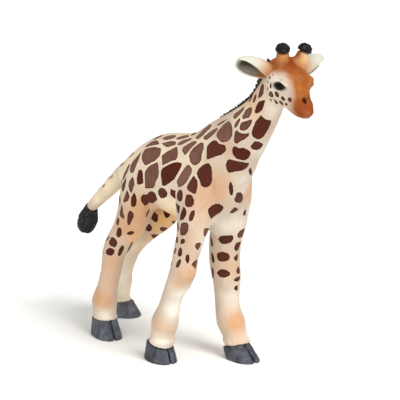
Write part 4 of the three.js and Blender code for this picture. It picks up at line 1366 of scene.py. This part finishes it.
# What the noises do: each row is the noise's range, and what is given at its two ends, which are 0
# and 1 where the row doesn't say.
patch_tone = (0.3, 0.7, 0.93, 1.04)
pore_tone = (0.2, 0.8, -0.03, 0.03)
patch_roughness = (0.3, 0.7, 0.48, 0.62)
spray_uneven = (0.25, 0.75, 0.75, 1.15)
mask_ragged = (0.2, 0.8, -0.14, 0.14)
mask_mottles = (0.45, 0.68, 0.0, 0.35)
spot_ragged = (0.2, 0.8, -0.08, 0.08)
spot_streaks = (0.3, 0.62, 0.7, 1.0)
hair_brushed = (0.48, 0.72)
hoof_scuffs = (0.36, 0.72)
eye_depths = (0.9, 1.1, 0.0, 0.4)

# Between which distances from a spot's outline its paint and its paler inside begin, and how strong
# the dark line round an eye is
spot_edge = (0.06, -0.06)
spot_inside = (-0.06, -0.5)
eye_line_strength = 0.6

# Sizes of the noises' patches in millimetres
spray_size = 3.5
mottle_size = 1.5
ragged_size = 0.9
streak_size = 1.3
streak_stretch = (1.0, 1.0, 0.55)
brush_size = 0.8
scuff_size = 2.2
scuff_stretch = (1.0, 1.0, 0.5)

# How rough the single paints are
cap_roughness = 0.5
tuft_roughness = 0.55
mane_roughness = 0.6
hoof_roughness = 0.42
eye_roughness = 0.15

# The moulded grain: the size of its patches and pores in millimetres, and its depth. Its relief is
# this deep in metres, times the strengths below.
relief_depth = 0.0002
hide_grain = (7.0, 0.3, 0.6)
ear_grain = (4.0, 0.3, 0.6)
dark_grain = (3.0, 0.25, 0.8)
eye_grain = (2.0, 0.6, 0.1)
hide_relief = 0.35
dark_relief = 0.5
eye_relief = 0.02


def new_material(name):
    material = bpy.data.materials.new(name)
    material.use_nodes = True
    tree = material.node_tree
    shader = tree.nodes["Principled BSDF"]
    shader.inputs["Specular IOR Level"].default_value = paint_gloss
    return material, tree, shader


def moulded_grain():
    """Unevenness of moulded and painted vinyl: a tone round 1, a height, and a roughness."""
    tree, given, result = new_group(
        "moulded_grain", {"Patch": 6.0, "Pore": 0.35, "Depth": 0.5}, ["Tone", "Height", "Roughness"]
    )
    place = object_place(tree)

    def noise_of(size, detail):
        scale = sum_of(tree, "DIVIDE", float(millimetres), size)
        inputs = {"Vector": place, "Scale": scale, "Detail": detail}
        return put(tree, "ShaderNodeTexNoise", inputs).outputs["Fac"]

    patches = noise_of(given.outputs["Patch"], 3.0)
    pores = noise_of(given.outputs["Pore"], 2.0)
    tone = sum_of(tree, "ADD", ramp(tree, patches, *patch_tone), ramp(tree, pores, *pore_tone))
    height = sum_of(tree, "MULTIPLY", pores, given.outputs["Depth"])
    tree.links.new(tone, result.inputs["Tone"])
    tree.links.new(height, result.inputs["Height"])
    tree.links.new(ramp(tree, patches, *patch_roughness), result.inputs["Roughness"])
    return tree


grain_group = moulded_grain()


def grain(tree, patch, pore, depth):
    node = put(tree, "ShaderNodeGroup", node_tree=grain_group)
    for name, value in {"Patch": patch, "Pore": pore, "Depth": depth}.items():
        node.inputs[name].default_value = value
    return node.outputs


def toned(tree, colour, tone):
    """A colour made lighter or darker by a number round 1."""
    if isinstance(colour, tuple):
        colour = colour[:3]
    return put(tree, "ShaderNodeVectorMath", {0: colour, "Scale": tone}, operation="SCALE").outputs[0]


def dress(tree, shader, colour, roughness, height, strength):
    """Connects colour, roughness and bump to the shader."""
    tree.links.new(colour, shader.inputs["Base Color"])
    if isinstance(roughness, bpy.types.NodeSocket):
        tree.links.new(roughness, shader.inputs["Roughness"])
    else:
        shader.inputs["Roughness"].default_value = roughness
    inputs = {"Height": height, "Strength": strength, "Distance": relief_depth}
    bump = put(tree, "ShaderNodeBump", inputs)
    tree.links.new(bump.outputs[0], shader.inputs["Normal"])


# Colours
cream = (0.61, 0.485, 0.38, 1)
peach = (0.59, 0.32, 0.165, 1)
# Gold, pale and ivory are also sprayed as painted light, lifting places that lie in shade
gold = (0.86, 0.50, 0.18, 1)
pale = (0.86, 0.85, 0.75, 1)
ivory_and_painted_light = (0.86, 0.73, 0.52, 1)
spot_rim = (0.040, 0.013, 0.007, 1)
spot_dark = (0.086, 0.014, 0.006, 1)
# The grey of the pale spots is partly a painted sheen of the light from above
spot_grey = (0.215, 0.110, 0.082, 1)
mask_orange = (0.335, 0.097, 0.018, 1)
mask_light = (0.50, 0.19, 0.05, 1)
# The face's brown is partly painted shade, under the muzzle and between the horns
mask_shade_brown = (0.23, 0.042, 0.009, 1)
patch_white = (0.61, 0.48, 0.375, 1)
nostril_brown = (0.055, 0.009, 0.005, 1)
ear_white = (0.62, 0.61, 0.52, 1)
ear_tan = (0.54, 0.27, 0.115, 1)
# The brown in the ear's hollow is painted shade
ear_shade_brown = (0.070, 0.048, 0.030, 1)
eye_black = (0.004, 0.003, 0.003, 1)
eye_brown = (0.012, 0.007, 0.005, 1)
cap_black = (0.012, 0.011, 0.010, 1)
cap_grey = (0.05, 0.048, 0.045, 1)
tuft_black = (0.02, 0.02, 0.021, 1)
tuft_grey = (0.07, 0.07, 0.075, 1)
mane_brown = (0.036, 0.02, 0.018, 1)
mane_grey = (0.095, 0.062, 0.055, 1)

# The hooves' two greys, and how much lighter they are on each leg. The lift on the rear hooves is
# painted light, making up for the shade they lie in.
hoof_slate = (0.050, 0.052, 0.060)
hoof_dusted = (0.095, 0.108, 0.13)
hoof_shade_lift = {"front_right": 1.0, "front_left": 1.0, "rear_right": 1.35, "rear_left": 1.7}


def painted_hide(with_mask=False):
    """Cream vinyl with airbrushed colours, partly painted light and shade, and hand-painted spots."""
    material, tree, shader = new_material("painted_face" if with_mask else "painted_hide")
    place = object_place(tree)
    uneven = grain(tree, *hide_grain)
    colour = toned(tree, patch_white if with_mask else cream, uneven["Tone"])
    wander = cloud(tree, place, spray_size)
    # Some of these sprays are partly painted light, lifting places that lie in shade
    for name, sprayed_colour in {"ivory_and_painted_light": ivory_and_painted_light, "pale": pale, "peach": peach, "gold": gold}.items():
        uneven_spray = ramp(tree, wander, *spray_uneven)
        amount = sum_of(tree, "MULTIPLY", painted(tree, name), uneven_spray, clamp=True)
        colour = over(tree, amount, colour, sprayed_colour)
    if with_mask:
        ragged = ramp(tree, wander, *mask_ragged)
        fuzzy = sum_of(tree, "ADD", painted(tree, "mask"), ragged, clamp=True)
        colour = over(tree, fuzzy, colour, mask_orange)
        mottled = ramp(tree, cloud(tree, place, mottle_size, detail=4.0), *mask_mottles)
        colour = over(tree, sum_of(tree, "MULTIPLY", mottled, fuzzy), colour, mask_light)
        # Brown that is partly painted shade, under the muzzle and between the horns
        shade = sum_of(tree, "MULTIPLY", painted(tree, "mask_shade"), fuzzy)
        colour = over(tree, shade, colour, mask_shade_brown)
        eye_line = sum_of(tree, "MULTIPLY", painted(tree, "eye_line"), eye_line_strength)
        colour = over(tree, eye_line, colour, nostril_brown)
        colour = over(tree, painted(tree, "nostril"), colour, nostril_brown)
    ragged = ramp(tree, cloud(tree, place, ragged_size, detail=2.0), *spot_ragged)
    edge = sum_of(tree, "ADD", painted(tree, "spot"), ragged)
    streaks = cloud(tree, place, streak_size, detail=4.0, stretch=streak_stretch)
    streaked = ramp(tree, streaks, *spot_streaks)
    inner = sum_of(tree, "MULTIPLY", ramp(tree, edge, *spot_inside), streaked)
    wash = over(tree, painted(tree, "spot_pale"), spot_dark, spot_grey)
    rim = over(tree, painted(tree, "spot_pale"), spot_rim, spot_dark)
    spot_colour = over(tree, inner, rim, wash)
    spot_colour = toned(tree, spot_colour, uneven["Tone"])
    colour = over(tree, ramp(tree, edge, *spot_edge), colour, spot_colour)
    dress(tree, shader, colour, uneven["Roughness"], uneven["Height"], hide_relief)
    return material


def dark_hair(name, under, over_colour, roughness):
    """Dark painted hair, paler where a dry brush has touched its ridges."""
    material, tree, shader = new_material(name)
    place = object_place(tree)
    uneven = grain(tree, *dark_grain)
    brushed = ramp(tree, cloud(tree, place, brush_size, detail=4.0), *hair_brushed)
    colour = over(tree, brushed, toned(tree, under, uneven["Tone"]), over_colour)
    dress(tree, shader, colour, roughness, uneven["Height"], dark_relief)
    return material


def ear_vinyl():
    """Off-white outside, a tan root, and painted shade in the hollow, darkest under its upper rim."""
    material, tree, shader = new_material("ear_vinyl")
    uneven = grain(tree, *ear_grain)
    colour = toned(tree, ear_white, uneven["Tone"])
    colour = over(tree, painted(tree, "ear_root"), colour, ear_tan)
    # Painted shade in the hollow, darkest under the upper rim that hangs over it
    colour = over(tree, painted(tree, "ear_hollow_shade"), colour, ear_shade_brown)
    dress(tree, shader, colour, uneven["Roughness"], uneven["Height"], hide_relief)
    return material


def hoof_paint(leg):
    """Slate grey with bluish grey dry-brushing; the rear hooves are lightened as painted light."""
    material, tree, shader = new_material(f"{leg}_hoof_paint")
    # The rear hooves' greys are lifted by painted light, against the shade they lie in
    slate = tuple(value * hoof_shade_lift[leg] for value in hoof_slate)
    dusted = tuple(value * hoof_shade_lift[leg] for value in hoof_dusted)
    place = object_place(tree)
    uneven = grain(tree, *dark_grain)
    scuffs = cloud(tree, place, scuff_size, detail=4.0, stretch=scuff_stretch)
    scuffs = ramp(tree, scuffs, *hoof_scuffs)
    colour = over(tree, scuffs, toned(tree, slate, uneven["Tone"]), (*dusted, 1))
    dress(tree, shader, colour, hoof_roughness, uneven["Height"], dark_relief)
    return material


def eye_lacquer():
    """Glossy black, with a trace of brown in its depth."""
    material, tree, shader = new_material("eye_lacquer")
    uneven = grain(tree, *eye_grain)
    brown = ramp(tree, uneven["Tone"], *eye_depths)
    colour = over(tree, brown, eye_black, eye_brown)
    dress(tree, shader, colour, eye_roughness, uneven["Height"], eye_relief)
    shader.inputs["Specular IOR Level"].default_value = eye_gloss
    return material


# Ears: a leaf rolled into a cup, in the head's frame
ear_root = Vector((2.6, 3.6, -0.1))
ear_tip = Vector((-1.3, 15.9, 1.1))
ear_steps = 24
ear_round_steps = 34
ear_wall = 0.6
# along the ear, half height, half depth, the upper rim's angle
ear_shape = np.array([
    (0.0, 2.3, 1.3, -40),
    (0.12, 2.8, 1.7, -30),
    (0.3, 3.3, 2.1, -4),
    (0.5, 3.55, 2.4, 20),
    (0.7, 3.45, 2.2, 34),
    (0.85, 2.9, 1.7, 44),
    (0.95, 2.0, 1.2, 52),
    (1.0, 1.4, 0.7, 58),
])
ear_lower_rim = 288
ear_marks = ["ear_along", "ear_turn", "ear_root", "ear_hollow_shade"]

# As shares of the ear's length and turn: how far the tan of the root goes and how strong it is, and
# where the hollow's painted shade ends towards its lower rim and its tip, with the width of each fade
tan_length = 0.6
tan_strength = 1.5
hollow_turn = 0.98
hollow_turn_fade = 0.33
hollow_tip_fade = 0.16


def paint_ear(made, start, end):
    """Marks the painted shade in the ear's hollow, darkest under its upper rim, and the ear's tan root.
    """
    marks = {name: made.verts.layers.float[name] for name in ear_marks}
    made.normal_update()
    for vert in made.verts:
        along = vert[marks["ear_along"]]
        turn = vert[marks["ear_turn"]]
        from_middle = vert.co - start.lerp(end, along)
        inside = vert.normal.dot(from_middle) < 0
        vert[marks["ear_root"]] = min(1, tan_strength * max(0.0, 1 - along / tan_length))
        to_rim = min(1, max(0, (hollow_turn - turn) / hollow_turn_fade))
        to_tip = min(1, max(0, (1.0 - along) / hollow_tip_fade))
        vert[marks["ear_hollow_shade"]] = to_rim * to_tip if inside else 0


def make_ear(side, material):
    """One ear: a grid that is rolled round the line from root to tip, then given its wall."""
    made = bmesh.new()
    bmesh.ops.create_grid(made, x_segments=ear_steps, y_segments=ear_round_steps, size=0.5)
    for name in ear_marks:
        made.verts.layers.float.new(name)
    along_layer = made.verts.layers.float["ear_along"]
    turn_layer = made.verts.layers.float["ear_turn"]
    beside = sides[side]
    start = Vector((ear_root.x, beside * ear_root.y, ear_root.z))
    end = Vector((ear_tip.x, beside * ear_tip.y, ear_tip.z))
    outward = (end - start).normalized()
    ahead = Vector((1, 0, 0))
    ahead = (ahead - outward * ahead.dot(outward)).normalized()
    above = Vector((0, 0, 1))
    above = (above - outward * above.dot(outward)).normalized()
    for vert in made.verts:
        along = vert.co.x + 0.5
        turn = vert.co.y + 0.5
        height, depth, rim = (np.interp(along, ear_shape[:, 0], row) for row in ear_shape.T[1:])
        angle = math.radians(rim + (ear_lower_rim - rim) * turn)
        vert[along_layer] = along
        vert[turn_layer] = turn
        place = start.lerp(end, along) + ahead * depth * math.cos(angle)
        vert.co = place + above * height * math.sin(angle)
    bmesh.ops.recalc_face_normals(made, faces=made.faces)
    bmesh.ops.solidify(made, geom=made.faces[:], thickness=ear_wall)
    bmesh.ops.recalc_face_normals(made, faces=made.faces)
    paint_ear(made, start, end)
    made.transform(head_frame)
    return finish_piece(made, f"{side}_ear_leaf", [f"{side}_ear"], material, levels=1)


# Eyes: how deep each ball is sunk (below zero it stands out), how far its ends are drawn in to
# points, and its mesh
eye_depth = {"right": -0.2, "left": 0.85}
eye_points = 0.3
eye_segments = 40
eye_rings = 24


def make_eye(side, material):
    made = bmesh.new()
    bmesh.ops.create_uvsphere(made, u_segments=eye_segments, v_segments=eye_rings, radius=1)
    for vert in made.verts:
        vert.co.z *= 1 - eye_points * vert.co.x**2
    seat = Vector((eye_seat.x, sides[side] * (eye_seat.y - eye_depth[side]), eye_seat.z))
    risen = Matrix.Rotation(math.radians(-eye_rise), 4, "Y")
    shape = Matrix.Translation(seat) @ risen @ Matrix.Diagonal((*eye_half, 1))
    made.transform(head_frame @ shape)
    return finish_piece(made, f"{side}_eyeball", [f"{side}_eye"], material)


# Fine meshes: their voxels, and the rounds of smoothing
cap_voxel = 0.2
hoof_voxel = 0.24
hair_voxel = 0.22
fine_rounds = 2


def refined(name, voxel):
    """A CAD node as a fine, even mesh."""
    made = skin_round(merged_copy(name), voxel)
    keep_largest(made)
    soften(made, fine_rounds)
    return made


def roughen(made, size, depth, stretch=(1, 1, 1)):
    """Lumps of about a size, moved along the normals."""
    made.normal_update()
    moves = []
    for vert in made.verts:
        point = Vector([value * pull / size for value, pull in zip(vert.co, stretch)])
        moves.append(vert.normal * noise.noise(point) * depth)
    shift(made, moves)


# Lumps: their size and depth, and how much shorter a hoof's are upwards
cap_hair_size = 0.7
cap_hair_depth = 0.3
hoof_lump_size = 2.6
hoof_lump_depth = 0.14
hoof_lump_squash = (1, 1, 2.5)

# What lies below this height and faces down at least this much is the sole.
sole_height = 0.5
sole_facing = -0.6


def make_horn_cap(side, material):
    """A horn's cap, with short hair over it."""
    made = refined(f"{side}_horn_cap", cap_voxel)
    roughen(made, cap_hair_size, cap_hair_depth)
    return finish_piece(made, f"{side}_horn_tip", [f"{side}_horn_cap"], material)


def make_hoof(leg, material):
    """A hoof: slightly uneven walls and a flat sole."""
    made = refined(f"{leg}_hoof", hoof_voxel)
    roughen(made, hoof_lump_size, hoof_lump_depth, hoof_lump_squash)
    made.normal_update()
    for vert in made.verts:
        if vert.co.z < sole_height and vert.normal.z < sole_facing:
            vert.co.z = 0
        vert.co.z = max(0, vert.co.z)
    return finish_piece(made, f"{leg}_hoof_shell", [f"{leg}_hoof"], material)


# The tuft's locks: how many lie round it, how deep and how sharp the grooves between them are, their
# twist, and how far and how closely they stray. Towards the tuft's root the grooves fade: what is
# left is tuft_fade less the share of the way from its middle to its root.
tuft_locks = 6
tuft_groove = 0.4
tuft_sharpness = 0.5
tuft_fade = 1.15
tuft_twist = 0.8
tuft_stray = 1.4
tuft_stray_scale = 0.25

# How much the tuft is swollen, the depth and scale of its fine hair, and the way it hangs
tuft_swell = 0.15
tuft_hair = 0.05
tuft_hair_scale = 1.6
tuft_down = Vector((-0.42, 0, -0.91))


def make_tuft(material):
    """The tail's tuft: long locks with shallow grooves between them."""
    made = refined("tail_tuft", hair_voxel)
    corners = np.array([vert.co[:] for vert in made.verts])
    middle = Vector(box_middle(corners))
    beside = tuft_down.cross(Vector((0, 1, 0))).normalized()
    length = max((vert.co - middle).dot(tuft_down) for vert in made.verts)
    made.normal_update()
    moves = []
    for vert in made.verts:
        offset = vert.co - middle
        share = offset.dot(tuft_down) / length
        turn = math.atan2(offset.y, offset.dot(beside))
        stray = noise.noise(vert.co * tuft_stray_scale) * tuft_stray
        wave = math.sin(tuft_locks / 2 * (turn + tuft_twist * share) + stray)
        lock = abs(wave) ** tuft_sharpness
        depth = tuft_groove * min(1, max(0, tuft_fade + share)) * (lock - 1)
        hair = tuft_hair * noise.noise(vert.co * tuft_hair_scale)
        moves.append(vert.normal * (depth + tuft_swell + hair))
    shift(made, moves)
    soften(made, 1)
    return finish_piece(made, "tail_brush", ["tail_tuft"], material)


# The mane's tufts of hair: how far apart they stand along the neck, how high they rise, the curve of
# their backs, and which share of the curve's height stays at the ridge's own height
tuft_spacing = 1.5
tuft_rise = 1.4
tuft_curve = 1.5
tuft_middle = 0.45

# How far the tufts stray from even spacing, and the splits in them: their depth, how close they are
# along and across the neck, and how much of them goes sideways
mane_stray = 0.9
mane_stray_scale = 0.5
split_depth = 0.35
split_along = 2.2
split_across = 3
split_sideways = 0.5

# Ways of the mane, how much its tufts lean, and where its ridge is raised: the height above the
# ground, and by how much
mane_above = Vector((-0.71, 0, 0.71))
mane_along = Vector((0.71, 0, 0.71))
mane_lean = 0.35
mane_lift = np.array([
    (70, 0.1), (80, -0.3), (88, -0.45), (94, -0.1), (99, 0.6), (103, 1.5), (106, 2.0),
])


def make_mane(material):
    """The mane: the ridge, with its crest broken into tufts that lean back."""
    made = refined("mane", hair_voxel)
    made.normal_update()
    moves = []
    for vert in made.verts:
        facing = max(0, vert.normal.dot(mane_above))
        stray = noise.noise(vert.co * mane_stray_scale) * mane_stray
        along = vert.co.dot(mane_along) + stray
        saw = (along / tuft_spacing) % 1
        crest = (saw**tuft_curve - tuft_middle) * tuft_rise
        place = Vector((along * split_along, vert.co.y * split_across, 0))
        split = split_depth * noise.noise(place)
        lift = np.interp(vert.co.z, mane_lift[:, 0], mane_lift[:, 1])
        raised = (mane_above - mane_along * mane_lean) * facing * (crest + split + lift)
        moves.append(raised + vert.normal * split * split_sideways)
    shift(made, moves)
    return finish_piece(made, "mane_crest", ["mane"], material)


# Building

shades = random.Random(filler_seed)
hide = painted_hide()
face = painted_hide(with_mask=True)
skin = make_skin()
sculpt_skin(skin)
skin_tree = BVHTree.FromBMesh(skin)
spots = traced_spots(skin_tree, shades)
spots += filler_spots(skin_tree, skin, spots, shades)
cut_at_seams(skin)
parts = parts_of_skin(skin)
skin.free()
for node, part in parts.items():
    on_head = node == "head" or node.endswith("horn")
    paint(part, skin_tree, spots, with_mask=on_head)
    finish_piece(part, f"{node}_hide", [node], face if on_head else hide)

ear_material = ear_vinyl()
lacquer = eye_lacquer()
cap_material = dark_hair("horn_tip_hair", cap_black, cap_grey, cap_roughness)
for side in sides:
    make_ear(side, ear_material)
    make_eye(side, lacquer)
    make_horn_cap(side, cap_material)
for leg in leg_names:
    make_hoof(leg, hoof_paint(leg))
make_tuft(dark_hair("tuft_hair", tuft_black, tuft_grey, tuft_roughness))
make_mane(dark_hair("mane_hair", mane_brown, mane_grey, mane_roughness))


# Floor, light and camera

# The floor's half width in metres, its colour, and the sky's
floor_half = 4
floor_white = (0.98, 0.98, 0.965, 1)
sky_white = (1, 1, 0.99, 1)

# The nearest and farthest that the camera sees, in metres
camera_near = 0.01
camera_far = 10


def make_floor():
    floor_mesh = bpy.data.meshes.new("floor")
    made = bmesh.new()
    bmesh.ops.create_grid(made, x_segments=1, y_segments=1, size=floor_half)
    made.to_mesh(floor_mesh)
    made.free()
    floor = bpy.data.objects.new("floor", floor_mesh)
    bpy.context.scene.collection.objects.link(floor)
    material, _, shader = new_material("studio_floor")
    shader.inputs["Base Color"].default_value = floor_white
    shader.inputs["Roughness"].default_value = 1.0
    shader.inputs["Specular IOR Level"].default_value = 0.0
    floor_mesh.materials.append(material)


# Lights: the way each one stands from the figure (right, up, towards the camera), how wide its
# softbox looks in degrees, its strength and its colour
lamps = {
    "key": ((0.58, 1.05, 0.72), 26, 2.3, (1.0, 0.985, 0.96)),
    "fill": ((-0.4, 0.35, 0.9), 60, 1.1, (1.0, 0.99, 0.98)),
}
world_strength = 0.5


def make_lamp(name, way, width, strength, colour):
    """A far softbox, which lights figure and floor evenly."""
    right, up, near = way
    data = bpy.data.lights.new(name, "SUN")
    data.angle = math.radians(width)
    data.energy = strength
    data.color = colour
    direction = picture_right * right + Vector((0, 0, 1)) * up + aim(view_azimuth, 0) * near
    lamp = bpy.data.objects.new(name, data)
    lamp.rotation_mode = "QUATERNION"
    lamp.rotation_quaternion = direction.to_track_quat("Z", "Y")
    bpy.context.scene.collection.objects.link(lamp)


def make_light():
    for name, values in lamps.items():
        make_lamp(name, *values)
    world = bpy.data.worlds.new("studio")
    world.use_nodes = True
    background = world.node_tree.nodes["Background"]
    background.inputs["Color"].default_value = sky_white
    background.inputs["Strength"].default_value = world_strength
    bpy.context.scene.world = world


def make_camera():
    data = bpy.data.cameras.new("photo_camera")
    data.sensor_width = sensor_width
    data.lens = sensor_width * view_distance / view_cover
    data.clip_start = camera_near
    data.clip_end = camera_far
    camera = bpy.data.objects.new("photo_camera", data)
    camera.location = eye_place / millimetres
    camera.rotation_mode = "QUATERNION"
    camera.rotation_quaternion = to_eye.to_track_quat("Z", "Y")
    bpy.context.scene.collection.objects.link(camera)
    bpy.context.scene.camera = camera


make_floor()
make_light()
make_camera()
bpy.context.scene.view_settings.view_transform = "Standard"
